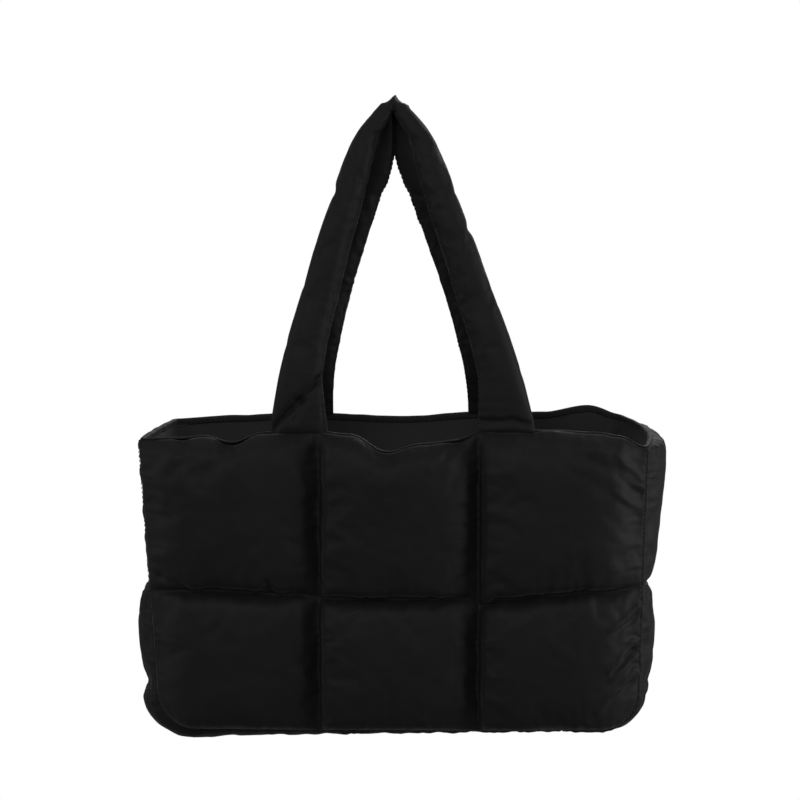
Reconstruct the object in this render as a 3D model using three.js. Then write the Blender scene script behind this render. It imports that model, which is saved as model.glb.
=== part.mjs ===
// A quilted puffer tote bag, hanging open by its two padded handles.
// Front and back are padded panels of three columns and two rows of pillows. Two padded side
// gussets and a base pad that turns up round the lower corners join them into a soft box. A thin
// lining hangs inside, a hem closes the mouth, and each handle is a padded tube folded over a hook.
// Millimetres, +Z up, front towards -Y. The origin is where a hook carries both handles.
import * as THREE from "three";

// Body
const handleDrop = 258; // from the hook down to the hem's top edge at the handle roots
const bodyHeight = 249.5; // from the base seam up to the hem's top edge
const lowerRowHeight = 116.5; // from the base seam up to the quilting line round the bag
const cornerRadius = 30; // lower corners of the panels, seen from the front
const bodyWidth = 394; // between the corner seams at the base
const rimFrontFlare = 22; // how much wider the bag is between the front corners of the mouth
const rimBackFlare = -12; // and between its back corners
const bodyDepth = 122; // front seam to back seam at the base
const rimDepth = 110; // front to back at the mouth
const baseTilt = 0.6; // how much lower the base hangs at its left end than in the middle
const bodyShift = 5; // the base hangs this far right of the hook
const rimShift = 0.5; // and the mouth this far
const panelBow = 4; // how far the middle of a panel stands out past its corner seams
const rightRimBow = 13; // how far the mouth's right end stands out past its corners
const leftRimBow = 2;

// Padding
const panelCrown = 22; // how far a front or back pillow stands out past its seams
const gussetCrown = 19;
const leftBaseCrown = 11; // how far the base pad stands out underneath, at its left end
const rightBaseCrown = 3;
const leftCornerCrown = 23; // where the base pad turns up round the lower left corner
const rightCornerCrown = 14;
const cornerSharpness = 6; // higher keeps the corners' fullness closer to the corners
const baseFlatness = 1.35; // 1 is round underneath, higher is flatter
const innerCrown = 8; // how far every pillow swells inwards
const steepness = 0.42; // how steeply a pillow rises from its seams: nearer 0 is steeper
const seamThickness = 2.6; // shell, squeezed wadding and backing where they are stitched
const seamGap = 0.35; // clearance between pieces that are sewn together
const rootGap = 0.7; // clearance under a handle's root, which follows the curve of the hem

// Mouth
const hemHeight = 6;
const hemThickness = 4.6;
const rimDrop = 17; // the deepest sag of the mouth between the handles
const rimLean = 8; // how far the sagging rim flops outwards
const liningThickness = 1.2;
const liningFlare = 0.2; // share of the upper row over which the lining draws in from the hem

// Handles
const frontRootGap = 122; // between the inner edges of the front handle's two roots
const backRootGap = 116;
const frontRootShift = 9; // middle of the front roots, right of the hook
const backRootShift = 4;
const shiftFade = 1.6; // how quickly that shift fades up a leg
const handleWidth = 34; // seen from the front, low on a leg
const handleThickness = 25; // front to back
const sectionSoftness = 0.85; // 1 is an ellipse, nearer 0 is a box
const foldRise = 12.5; // from the hook up to the top of the flattened fold
const hookRadius = 2; // the handles' inner edges bend round this

// Facets
const cellColumns = 8; // grid columns in each pillow of a panel
const arcRows = 4; // grid rows up a lower corner
const lowerRows = 5; // grid rows from there to the quilting line
const upperRows = 8;
const depthColumns = 8; // grid columns from front to back
const handleSides = 12;
const legSteps = 13; // sections up a handle's leg
const fanSteps = 4; // sections from the top of a leg round to the top of the fold

// The mouth's edge from left corner to right corner: where, as a share of the half width; how far
// it drops, as a share of rimDrop; and how far it leans out, as a share of rimLean.
const frontRim = [
  { at: -1.0, drop: 0.5, lean: 0.3 },
  { at: -0.84, drop: 0.4, lean: 0.5 },
  { at: -0.76, drop: 0.3, lean: 0.3 },
  { at: -0.66, drop: 0.62, lean: 0.7 },
  { at: -0.55, drop: 0.15, lean: 0.1 },
  { at: -0.37, drop: 0.04, lean: 0.0 },
  { at: -0.2, drop: 0.2, lean: 0.4 },
  { at: -0.05, drop: 1.0, lean: 1.0 },
  { at: 0.1, drop: 0.62, lean: 0.7 },
  { at: 0.24, drop: 0.45, lean: 0.4 },
  { at: 0.34, drop: 0.0, lean: 0.0 },
  { at: 0.6, drop: 0.0, lean: 0.0 },
  { at: 0.8, drop: 0.08, lean: 0.3 },
  { at: 0.89, drop: 0.25, lean: 0.3 },
  { at: 1.0, drop: 0.8, lean: 0.3 },
];
const backRim = [
  { at: -1.0, drop: 0.4, lean: 0.2 },
  { at: -0.75, drop: 0.24, lean: 0.2 },
  { at: -0.45, drop: 0.08, lean: 0.0 },
  { at: 0.0, drop: 0.28, lean: 0.5 },
  { at: 0.35, drop: 0.0, lean: 0.0 },
  { at: 0.62, drop: 0.0, lean: 0.0 },
  { at: 0.86, drop: -0.35, lean: 0.3 },
  { at: 1.0, drop: 0.1, lean: 0.2 },
];

// A handle's leg from its root to the hook: where, as a share of its height; its inner edge, as a
// share of half the root gap; its width and thickness, as shares of handleWidth and
// handleThickness; and how far its sections are turned up square to it, in degrees.
const frontLeg = [
  { at: 0.0, inner: 1.0, width: 1.42, thickness: 0.24, turn: 0 },
  { at: 0.06, inner: 1.03, width: 1.27, thickness: 0.55, turn: 2 },
  { at: 0.13, inner: 1.05, width: 1.04, thickness: 0.9, turn: 8 },
  { at: 0.23, inner: 1.0, width: 0.88, thickness: 1.05, turn: 15 },
  { at: 0.42, inner: 0.8, width: 0.81, thickness: 1.1, turn: 16 },
  { at: 0.55, inner: 0.65, width: 0.76, thickness: 1.15, turn: 16 },
  { at: 0.71, inner: 0.44, width: 0.7, thickness: 1.2, turn: 17 },
  { at: 0.83, inner: 0.31, width: 0.6, thickness: 1.15, turn: 20 },
  { at: 0.92, inner: 0.21, width: 0.44, thickness: 1.05, turn: 25 },
  { at: 1.0, inner: 0.0, width: 0.36, thickness: 0.9, turn: 32 },
];
const backLeg = [
  { at: 0.0, inner: 1.0, width: 1.36, thickness: 0.24, turn: 0 },
  { at: 0.06, inner: 1.0, width: 1.25, thickness: 0.55, turn: 2 },
  { at: 0.13, inner: 0.96, width: 1.05, thickness: 0.9, turn: 8 },
  { at: 0.23, inner: 0.88, width: 1.0, thickness: 1.05, turn: 13 },
  { at: 0.39, inner: 0.71, width: 0.97, thickness: 1.1, turn: 16 },
  { at: 0.55, inner: 0.48, width: 0.95, thickness: 1.1, turn: 20 },
  { at: 0.71, inner: 0.22, width: 0.86, thickness: 1.1, turn: 18 },
  { at: 0.83, inner: 0.03, width: 0.76, thickness: 1.1, turn: 12 },
  { at: 0.87, inner: -0.02, width: 0.7, thickness: 1.05, turn: 10 },
  { at: 0.94, inner: -0.02, width: 0.48, thickness: 1.0, turn: 10 },
  { at: 1.0, inner: 0.0, width: 0.36, thickness: 0.9, turn: 20 },
];

// How full each gusset's pillows are, as shares of gussetCrown.
const gussetFill = {
  right: { lower: 0.82, upper: 0.88 },
  left: { lower: 0.92, upper: 0.34 },
};

const shell = new THREE.MeshStandardMaterial({ color: 0x17181a, roughness: 0.55, metalness: 0 });
const liningCloth = new THREE.MeshStandardMaterial({ color: 0x121213, roughness: 0.7, metalness: 0 });

const padHeight = bodyHeight - hemHeight - seamGap; // base seam to the top of the padding
const baseSeamZ = -handleDrop - bodyHeight;
const upperRowHeight = padHeight - lowerRowHeight;

const lerp = THREE.MathUtils.lerp;
const clamp01 = (value) => THREE.MathUtils.clamp(value, 0, 1);
const halfWave = (share) => (1 - Math.cos(Math.PI * share)) / 2;

// A column of a table at a place between its rows, eased from row to row.
function readTable(table, at, column) {
  const next = table.findIndex((row) => row.at >= at);
  if (next < 0) return table[table.length - 1][column];
  if (next === 0) return table[0][column];
  const [low, high] = [table[next - 1], table[next]];
  const share = halfWave((at - low.at) / (high.at - low.at));
  return lerp(low[column], high[column], share);
}

// A column of a table at a place between its rows, on a smooth curve through the rows.
function readCurve(table, at, column) {
  const last = table.length - 1;
  const next = THREE.MathUtils.clamp(table.findIndex((row) => row.at >= at), 1, last);
  const slope = (row) => {
    const [before, after] = [table[Math.max(row - 1, 0)], table[Math.min(row + 1, last)]];
    return (after[column] - before[column]) / (after.at - before.at);
  };
  const [low, high] = [table[next - 1], table[next]];
  const span = high.at - low.at;
  const t = (at - low.at) / span;
  const lowWeight = 2 * t ** 3 - 3 * t ** 2 + 1;
  const lowSlope = (t ** 3 - 2 * t ** 2 + t) * span * slope(next - 1);
  const highSlope = (t ** 3 - t ** 2) * span * slope(next);
  return lowWeight * low[column] + (1 - lowWeight) * high[column] + lowSlope + highSlope;
}

// Heights of the grid rows above the base seam: round the lower corner, up to the quilting line,
// and up to the hem. Rows crowd towards the seams, where a pillow is steep.
const rowHeights = [];
for (let i = 0; i < arcRows; i++)
  rowHeights.push(cornerRadius * (1 - Math.cos(((Math.PI / 2) * i) / arcRows)));
for (let i = 0; i < lowerRows; i++)
  rowHeights.push(lerp(cornerRadius, lowerRowHeight, halfWave(i / lowerRows)));
for (let i = 0; i <= upperRows; i++)
  rowHeights.push(lowerRowHeight + upperRowHeight * halfWave(i / upperRows));
const topRow = rowHeights.length - 1;
const quiltRow = arcRows + lowerRows;
const columns = 3 * cellColumns;

// Grid column as a share of the half width, from -1 at the left corner seam to 1 at the right.
function columnShare(column) {
  const cell = Math.min(Math.floor(column / cellColumns), 2);
  return (2 * (cell + halfWave(column / cellColumns - cell))) / 3 - 1;
}

// How far a height is along from the quilting line to the hem, 0 below and 1 at the top.
const upShare = (height) => clamp01((height - lowerRowHeight) / upperRowHeight);

// Where the corner seam runs: side -1 at the left, 1 at the right.
function cornerX(side, height, back) {
  const share = height / bodyHeight;
  const width = bodyWidth + share * (back ? rimBackFlare : rimFrontFlare);
  return lerp(bodyShift, rimShift, share) + (side * width) / 2;
}

// How far the round lower corner cuts in from the panel's full width.
function cornerInset(height, radius) {
  const below = Math.max(radius - height, 0);
  return radius - Math.sqrt(Math.max(radius * radius - below * below, 0));
}

// A point of the seam shell: share across from -1 to 1, seen from the front, at a height above
// the base seam, on the front or the back.
function seamPoint(share, height, back, inset = 0) {
  const rim = back ? backRim : frontRim;
  const up = upShare(height) ** 2;
  const side = Math.sign(share);
  const cutIn = cornerInset(height - inset, Math.max(cornerRadius - inset, 1));
  const edge = cornerX(side, height, back) - side * (inset + cutIn);
  const third = 1 / 3;
  const quilting = bodyShift + (side * bodyWidth) / 6; // the vertical quilting lines are straight
  const out = Math.abs(share);
  const x = out <= third
    ? lerp(bodyShift, quilting, out / third)
    : lerp(quilting, edge, (out - third) / (1 - third));
  const depth = lerp(bodyDepth, rimDepth, clamp01(height / bodyHeight)) / 2;
  const bow = panelBow * (1 - share * share);
  const y = depth - inset + bow + rimLean * readTable(rim, share, "lean") * up;
  const tilt = baseTilt * share * (1 - clamp01(height / lowerRowHeight));
  const z = baseSeamZ + height + tilt - rimDrop * readTable(rim, share, "drop") * up;
  return new THREE.Vector3(x, back ? y : -y, z);
}

// A point of the shell between its front and its back, where the ends of the mouth bow out.
function shellPoint(share, height, depth, inset = 0) {
  const front = seamPoint(share, height, false, inset);
  const back = seamPoint(share, height, true, inset);
  const point = front.lerp(back, depth);
  if (Math.abs(share) < 1) return point;
  const rimBow = share > 0 ? rightRimBow : leftRimBow;
  point.x += share * rimBow * 4 * depth * (1 - depth) * upShare(height) ** 2;
  return point;
}

// How full a pillow is at a place in its cell, both from -1 to 1. Outside it is steep at the
// seams, inside it is gentle.
function outerFill(a, b) {
  return Math.max((1 - a * a) * (1 - b * b), 0) ** steepness;
}
function innerFill(a, b) {
  return (1 - a * a) * (1 - b * b);
}

// Place in the cell, from -1 to 1, of a grid column or of a height.
function columnInCell(column) {
  const cell = Math.min(Math.floor(column / cellColumns), 2);
  return 2 * halfWave(column / cellColumns - cell) - 1;
}
function heightInCell(height) {
  if (height <= lowerRowHeight) return (2 * height) / lowerRowHeight - 1;
  return (2 * (height - lowerRowHeight)) / upperRowHeight - 1;
}

// The panels' common edge from the right end of the mouth, down, along the base and up to the
// left end, as grid places of a panel.
const edgePlaces = [];
for (let row = topRow; row > 0; row--) edgePlaces.push({ column: columns, row });
for (let column = columns; column > 0; column--) edgePlaces.push({ column, row: 0 });
for (let row = 0; row <= topRow; row++) edgePlaces.push({ column: 0, row });
const lastEdge = edgePlaces.length - 1;

// A point of the strip between the panels: place along the edge, and share from front to back.
function stripPoint(place, share) {
  const { column, row } = edgePlaces[place];
  return shellPoint(columnShare(column), rowHeights[row], share);
}

// Direction along the strip, from the right side down and round to the left.
function stripTangent(place, share) {
  const before = stripPoint(Math.max(place - 1, 0), share);
  const after = stripPoint(Math.min(place + 1, lastEdge), share);
  return after.sub(before).setY(0).normalize();
}

// Direction straight out of the strip, away from the bag.
function stripNormal(place, share) {
  const along = stripTangent(place, share);
  return new THREE.Vector3(-along.z, 0, along.x);
}

// A closed pad: a subdivided box, each vertex put where place(i, j, side) says, with side 1
// outside and -1 inside, i across and j up as seen from outside.
function pad(across, up, place) {
  const geometry = new THREE.BoxGeometry(1, 1, 1, across, up, 1);
  const position = geometry.getAttribute("position");
  for (let v = 0; v < position.count; v++) {
    const i = Math.round((position.getX(v) + 0.5) * across);
    const j = Math.round((position.getY(v) + 0.5) * up);
    const point = place(i, j, Math.sign(position.getZ(v)));
    position.setXYZ(v, point.x, point.y, point.z);
  }
  return geometry;
}

function mesh(name, geometry, material) {
  const made = new THREE.Mesh(geometry, material);
  made.name = name;
  return made;
}

// Front or back: six pillows on the seam shell, with mitred edges along the strip.
function quiltedPanel(back) {
  const outward = back ? 1 : -1;
  return pad(columns, topRow, (i, row, side) => {
    const column = back ? columns - i : i;
    const share = columnShare(column);
    const a = columnInCell(column);
    const b = heightInCell(rowHeights[row]);
    const fill = side > 0 ? panelCrown * outerFill(a, b) : innerCrown * innerFill(a, b);
    const point = seamPoint(share, rowHeights[row], back);
    point.y += outward * side * (seamThickness / 2 + fill);
    const place = edgePlaces.findIndex((edge) => edge.column === column && edge.row === row);
    if (place >= 0) {
      const mitre = (side * seamThickness) / 2 - seamGap;
      point.addScaledVector(stripNormal(place, back ? 1 : 0), mitre);
    }
    return point;
  });
}

// Part of the strip between two places, with its ends drawn back to leave the joining seams' gap.
function stripPad(first, last, fillAt) {
  return pad(last - first, depthColumns, (i, j, side) => {
    const place = first + i;
    const depth = halfWave(j / depthColumns);
    const end = i === 0 ? 1 : i === last - first ? -1 : 0;
    const point = stripPoint(place, depth);
    const onMouth = place === 0 || place === lastEdge;
    if (!onMouth) point.addScaledVector(stripTangent(place, depth), (end * seamGap) / 2);
    const fill = fillAt(place, 2 * depth - 1, side);
    point.addScaledVector(stripNormal(place, depth), side * (seamThickness / 2 + fill));
    const edge = j === 0 ? -1 : j === depthColumns ? 1 : 0;
    point.y += edge * ((side * seamThickness) / 2 - seamGap);
    return point;
  });
}

// A side gusset's two pillows, parted by the quilting line.
function gussetFillAt(fullness) {
  return (place, across, side) => {
    const height = rowHeights[edgePlaces[place].row];
    const lower = height <= lowerRowHeight;
    const foot = lower ? cornerRadius : lowerRowHeight;
    const b = (2 * (height - foot)) / (lower ? lowerRowHeight - cornerRadius : upperRowHeight) - 1;
    if (side < 0) return innerCrown * innerFill(across, b);
    return gussetCrown * (lower ? fullness.lower : fullness.upper) * outerFill(across, b);
  };
}

// The base pad: one long pillow with a flat underside, which turns up round both corners.
const rightJoint = topRow - arcRows;
const leftJoint = lastEdge - rightJoint;
function baseFillAt(place, across, side) {
  const along = (2 * (place - rightJoint)) / (leftJoint - rightJoint) - 1;
  if (side < 0) return innerCrown * innerFill(across, along);
  const towardsCorner = Math.abs(along) ** cornerSharpness;
  const cornerCrown = along < 0 ? rightCornerCrown : leftCornerCrown;
  const baseCrown = lerp(rightBaseCrown, leftBaseCrown, (along + 1) / 2);
  const crown = lerp(baseCrown, cornerCrown, towardsCorner);
  return crown * Math.min(baseFlatness * outerFill(across, towardsCorner), 1);
}

// The mouth's edge as a closed loop of grid places, from the left front corner to the right.
const mouthPlaces = [];
for (let column = 0; column < columns; column++) mouthPlaces.push({ column, depth: 0 });
for (let j = 0; j < depthColumns; j++) mouthPlaces.push({ column: columns, depth: j });
for (let column = columns; column > 0; column--) mouthPlaces.push({ column, depth: depthColumns });
for (let j = depthColumns; j > 0; j--) mouthPlaces.push({ column: 0, depth: j });

// A point of the loop round the bag at a height, drawn in from the seam shell by an inset.
function loopPoint(turn, height, inset) {
  const { column, depth } = mouthPlaces[turn % mouthPlaces.length];
  return shellPoint(columnShare(column), height, halfWave(depth / depthColumns), inset);
}

// Straight out of the loop in plan, lengthened at a corner so that a band keeps its thickness.
function loopNormal(turn, height, inset) {
  const count = mouthPlaces.length;
  const here = loopPoint(turn, height, inset);
  const into = here.clone().sub(loopPoint(turn + count - 1, height, inset)).setZ(0).normalize();
  const onward = loopPoint(turn + 1, height, inset).sub(here).setZ(0).normalize();
  const along = into.clone().add(onward).normalize();
  return new THREE.Vector3(along.y, -along.x, 0).divideScalar(Math.max(along.dot(onward), 0.5));
}

// A ring or cup: a lathe whose every vertex is put where place(turn, stop) says.
function turned(stops, place) {
  const profile = Array.from({ length: stops }, (_, i) => new THREE.Vector2(1, i));
  const turns = mouthPlaces.length;
  const geometry = new THREE.LatheGeometry(profile, turns);
  const position = geometry.getAttribute("position");
  for (let v = 0; v < position.count; v++) {
    const point = place(Math.floor(v / stops) % turns, v % stops);
    position.setXYZ(v, point.x, point.y, point.z);
  }
  return geometry;
}

// The hem: a folded band round the mouth, on top of the padding and the lining.
const hemProfile = [
  { out: -0.5, up: 0 },
  { out: 0.5, up: 0 },
  { out: 0.5, up: 0.85 },
  { out: 0, up: 1 },
  { out: -0.5, up: 0.85 },
  { out: -0.5, up: 0 },
];
const hemInset = (liningThickness + seamGap) / 2; // the hem also covers the lining's edge
function hemGeometry() {
  return turned(hemProfile.length, (turn, stop) => {
    const { out, up } = hemProfile[stop];
    const point = loopPoint(turn, padHeight, 0);
    point.addScaledVector(loopNormal(turn, padHeight, 0), out * hemThickness - hemInset);
    point.z += seamGap + up * hemHeight;
    return point;
  });
}

// The lining: a thin cloth bag whose walls stay just inside the pillows.
const liningTopInset = seamThickness / 2 + seamGap;
const liningRoom = innerCrown + seamGap; // how much further in it hangs beside a pillow
const liningRadius = cornerRadius - liningTopInset - liningRoom;
function liningInset(height) {
  const below = (padHeight - height) / (liningFlare * upperRowHeight);
  return liningTopInset + liningRoom * Math.min(below, 1);
}
const liningHeights = [topRow, topRow - 1, topRow - 2, topRow - 3, topRow - 5, quiltRow].map(
  (row) => rowHeights[row],
);
const liningFloor = liningTopInset + liningRoom;
for (const turnUp of [1, 0.6, 0.3, 0])
  liningHeights.push(liningFloor + liningRadius * (1 - Math.cos((Math.PI / 2) * turnUp)));
function liningGeometry() {
  const rows = liningHeights.length;
  const stops = 2 * rows + 2;
  return turned(stops, (turn, stop) => {
    const inner = stop > rows;
    const row = inner ? stop - rows - 1 : rows - stop;
    const thickness = inner ? liningThickness : 0;
    if (row >= rows) return new THREE.Vector3(bodyShift, 0, baseSeamZ + liningFloor + thickness);
    const height = liningHeights[row];
    const point = loopPoint(turn, height, liningInset(height));
    if (!inner) return point;
    const floor = loopPoint(turn, liningFloor, liningTopInset + liningRoom).z + liningThickness;
    point.addScaledVector(loopNormal(turn, height, liningInset(height)), -thickness);
    point.z = Math.max(point.z, floor);
    return point;
  });
}

// The hem's top edge at a place across the front or the back.
function hemTopAt(x, back) {
  const side = Math.sign(x - bodyShift);
  const quilting = (side * bodyWidth) / 6;
  const edge = cornerX(side, padHeight, back) - bodyShift;
  const beyond = (x - bodyShift - quilting) / (edge - quilting);
  const share = beyond < 0 ? (x - bodyShift) / bodyWidth / 0.5 : side * lerp(1 / 3, 1, beyond);
  const point = seamPoint(share, padHeight, back);
  point.z += seamGap + hemHeight;
  return point;
}

// One section of a handle, from its inner edge, which faces the opening, to its outer edge.
function handleSection(step, back) {
  const leg = back ? backLeg : frontLeg;
  const steps = 2 * (legSteps + fanSteps);
  const side = step <= steps / 2 ? 1 : -1;
  const climb = side > 0 ? step : steps - step;
  const at = Math.min(climb / legSteps, 1);
  const fan = Math.max(climb - legSteps, 0) / fanSteps;

  const angle = THREE.MathUtils.degToRad(lerp(readCurve(leg, at, "turn"), 90, fan));
  const outwards = new THREE.Vector3(side * Math.cos(angle), 0, Math.sin(angle));
  const edge = ((back ? backRootGap : frontRootGap) / 2) * readCurve(leg, at, "inner");
  const shift = (back ? backRootShift : frontRootShift) * (1 - at) ** shiftFade;
  const climbed = lerp(-handleDrop + rootGap, -hookRadius, at);
  const inner = new THREE.Vector3(side * edge + shift, 0, climbed);
  inner.addScaledVector(outwards, hookRadius * at);
  const reach = lerp(handleWidth * readCurve(leg, at, "width"), foldRise, fan);
  const outer = inner.clone().addScaledVector(outwards, reach);

  const thickness = handleThickness * readCurve(leg, at, "thickness");
  const rootY = hemTopAt((inner.x + outer.x) / 2, back).y;
  const apexY = (back ? 1 : -1) * (handleThickness / 2 + seamGap);
  inner.y = lerp(rootY, apexY, at);
  outer.y = inner.y;
  return { inner, outer, thickness, onHem: climb === 0 };
}

// A handle: a closed cylinder bent through its sections, each a rounded oval.
function handleGeometry(back) {
  const steps = 2 * (legSteps + fanSteps);
  const sections = Array.from({ length: steps + 1 }, (_, step) => handleSection(step, back));
  const geometry = new THREE.CylinderGeometry(1, 1, 1, handleSides, steps);
  const position = geometry.getAttribute("position");
  const soften = (value) => Math.sign(value) * Math.abs(value) ** sectionSoftness;
  for (let v = 0; v < position.count; v++) {
    const section = sections[Math.round((position.getY(v) + 0.5) * steps)];
    const across = soften(position.getX(v));
    const point = section.inner.clone().lerp(section.outer, (1 - across) / 2);
    point.y += (soften(position.getZ(v)) * section.thickness) / 2;
    if (section.onHem) point.z = hemTopAt(point.x, back).z + rootGap;
    position.setXYZ(v, point.x, point.y, point.z);
  }
  return geometry;
}

const bag = new THREE.Group();
bag.add(
  mesh("front_panel", quiltedPanel(false), shell),
  mesh("back_panel", quiltedPanel(true), shell),
  mesh("right_gusset", stripPad(0, rightJoint, gussetFillAt(gussetFill.right)), shell),
  mesh("base_pad", stripPad(rightJoint, leftJoint, baseFillAt), shell),
  mesh("left_gusset", stripPad(leftJoint, lastEdge, gussetFillAt(gussetFill.left)), shell),
  mesh("hem", hemGeometry(), shell),
  mesh("lining", liningGeometry(), liningCloth),
  mesh("front_handle", handleGeometry(false), shell),
  mesh("back_handle", handleGeometry(true), shell),
);

export default bag;
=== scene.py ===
"""A quilted puffer tote bag in black nylon, hanging open by its two padded handles.

The walls are panels of wadding between a nylon shell and a lining. Each skin starts on the sewn
seams of the frame, is blown up by a cloth simulation with its seams held, and then gets the
puckers and creases that stitching and hanging leave in it. Metres, +Z up, front towards -Y.
"""

import math

import bmesh
import bpy
import numpy as np
from bpy.props import FloatProperty, FloatVectorProperty, PointerProperty
from mathutils import Matrix, Vector, noise


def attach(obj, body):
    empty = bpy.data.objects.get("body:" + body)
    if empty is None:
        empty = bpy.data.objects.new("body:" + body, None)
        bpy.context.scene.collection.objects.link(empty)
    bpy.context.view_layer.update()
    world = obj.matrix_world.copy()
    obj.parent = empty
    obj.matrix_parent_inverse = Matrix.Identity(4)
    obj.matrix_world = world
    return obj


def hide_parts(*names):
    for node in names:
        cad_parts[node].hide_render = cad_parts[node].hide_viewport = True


bl_info = {
    "name": "Puffer Tote",
    "version": (1, 0, 0),
    "blender": (4, 5, 0),
    "location": "3D View > Sidebar > Puffer Tote",
    "description": "Quilted puffer tote bag with padded handles, an open mouth and a taffeta lining",
    "category": "Object",
}

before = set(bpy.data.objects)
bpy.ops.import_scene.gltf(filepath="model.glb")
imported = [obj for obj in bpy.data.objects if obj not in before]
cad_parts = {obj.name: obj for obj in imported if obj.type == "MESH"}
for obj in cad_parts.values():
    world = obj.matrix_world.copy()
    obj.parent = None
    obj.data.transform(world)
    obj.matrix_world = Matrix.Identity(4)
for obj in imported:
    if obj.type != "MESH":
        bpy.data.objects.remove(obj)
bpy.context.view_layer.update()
MM = 0.001
SPACING = 3 * MM  # between a skin's points before its subdivision
EDGE = 0.9999  # a place further out than this, of 1, is on its skin's or its pillow's edge


# Sizes and colours


def length(name, millimetres, description):
    """A length that a user may change, given in millimetres and kept in metres."""
    return FloatProperty(
        name=name, description=description, default=millimetres * MM, unit="LENGTH"
    )


def linear(code):
    """An sRGB hex colour as linear red, green and blue."""
    parts = [int(code[i : i + 2], 16) / 255 for i in (1, 3, 5)]
    return [p / 12.92 if p <= 0.04045 else ((p + 0.055) / 1.055) ** 2.4 for p in parts]


def colour(name, code, description):
    """A colour that a user may change, given as an sRGB hex value."""
    return FloatVectorProperty(
        name=name, description=description, default=linear(code), subtype="COLOR", size=3,
        min=0, max=1,
    )


class ToteSizes(bpy.types.PropertyGroup):
    """The bag's sewn sizes."""

    handle_drop: length("Handle drop", 258, "From the hook down to the hem at the handle roots")
    body_height: length("Body height", 249.5, "From the base seam up to the hem's top edge")
    lower_row: length("Lower row", 116.5, "From the base seam up to the quilting line")
    corner_radius: length("Corner radius", 30, "Lower corners of the panels")
    body_width: length("Body width", 394, "Between the corner seams at the base")
    front_flare: length("Front flare", 22, "How much wider the front of the mouth is")
    back_flare: length("Back flare", -12, "How much wider the back of the mouth is")
    body_depth: length("Body depth", 122, "Front seam to back seam at the base")
    rim_depth: length("Mouth depth", 110, "Front to back at the mouth")
    base_tilt: length("Base tilt", 0.6, "How much lower the base hangs at its left end")
    body_shift: length("Body shift", 5, "How far right of the hook the base hangs")
    quilting_shift: length("Quilting shift", 2.3, "How far right the upright quilting sits")
    rim_shift: length("Mouth shift", 0.5, "How far right of the hook the mouth hangs")
    panel_bow: length("Panel bow", 4, "How far a panel's middle stands out past its corners")
    right_bow: length("Right bow", 13, "How far the mouth's right end stands out")
    left_bow: length("Left bow", 2, "How far the mouth's left end stands out")
    hem_height: length("Hem height", 6, "Height of the folded hem")
    hem_thickness: length("Hem thickness", 4.6, "Thickness of the folded hem")
    rim_drop: length("Mouth sag", 17, "Deepest sag of the mouth between the handles")
    rim_lean: length("Mouth lean", 8, "How far the sagging mouth flops outwards")
    seam_thickness: length("Seam thickness", 2.6, "Wall thickness where it is stitched")
    panel_crown: length("Panel crown", 22, "How far the panels' pillows stand out")
    gusset_crown: length("Gusset crown", 19, "How far the gussets' pillows stand out")
    left_base: length("Left base crown", 11, "How far the base pad stands out at its left end")
    right_base: length("Right base crown", 3, "How far the base pad stands out at its right end")
    left_corner: length("Left corner crown", 23, "Fullness of the base pad's left end")
    right_corner: length("Right corner crown", 14, "Fullness of the base pad's right end")
    handle_width: length("Handle width", 34, "Seen from the front, low on a leg")
    handle_thickness: length("Handle thickness", 25, "Front to back")
    front_roots: length("Front root gap", 122, "Between the front handle's roots")
    back_roots: length("Back root gap", 116, "Between the back handle's roots")
    front_shift: length("Front root shift", 9, "Front roots' middle, right of the hook")
    back_shift: length("Back root shift", 4, "Back roots' middle, right of the hook")
    fold_rise: length("Fold rise", 12.5, "From the hook up to the top of the fold")
    hook_radius: length("Hook radius", 2, "The handles' inner edges bend round this")
    thread_pitch: length("Stitch pitch", 4.2, "From stitch to stitch")
    weave_pitch: length("Weave pitch", 0.8, "From yarn to yarn, drawn coarse enough to show")


class ToteColours(bpy.types.PropertyGroup):
    """The bag's cloths and thread."""

    shell: colour("Shell", "#161616", "Black nylon of the outside")
    lining: colour("Lining", "#0f0f10", "Black taffeta of the inside")
    thread: colour("Thread", "#151516", "Black sewing thread")
    floor: colour("Floor", "#f4f4f2", "Pale studio floor")


# Tables

# The mouth's edge from left corner to right corner, as a share of the half width: how far it drops
# and how far it leans out, as shares of the mouth's sag and lean.
RIM = [("at", float), ("drop", float), ("lean", float)]
FRONT_RIM = np.array([
    (-1.0, 0.5, 0.3), (-0.84, 0.4, 0.5), (-0.76, 0.3, 0.3), (-0.66, 0.62, 0.7),
    (-0.55, 0.15, 0.1), (-0.37, 0.04, 0.0), (-0.2, 0.2, 0.4), (-0.05, 1.0, 1.0),
    (0.1, 0.62, 0.7), (0.24, 0.45, 0.4), (0.34, 0.0, 0.0), (0.6, 0.0, 0.0),
    (0.8, 0.08, 0.3), (0.89, 0.25, 0.3), (1.0, 0.8, 0.3),
], dtype=RIM)
BACK_RIM = np.array([
    (-1.0, 0.4, 0.2), (-0.75, 0.24, 0.2), (-0.45, 0.08, 0.0), (0.0, 0.28, 0.5),
    (0.35, 0.0, 0.0), (0.62, 0.0, 0.0), (0.86, -0.35, 0.3), (1.0, 0.1, 0.2),
], dtype=RIM)

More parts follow.
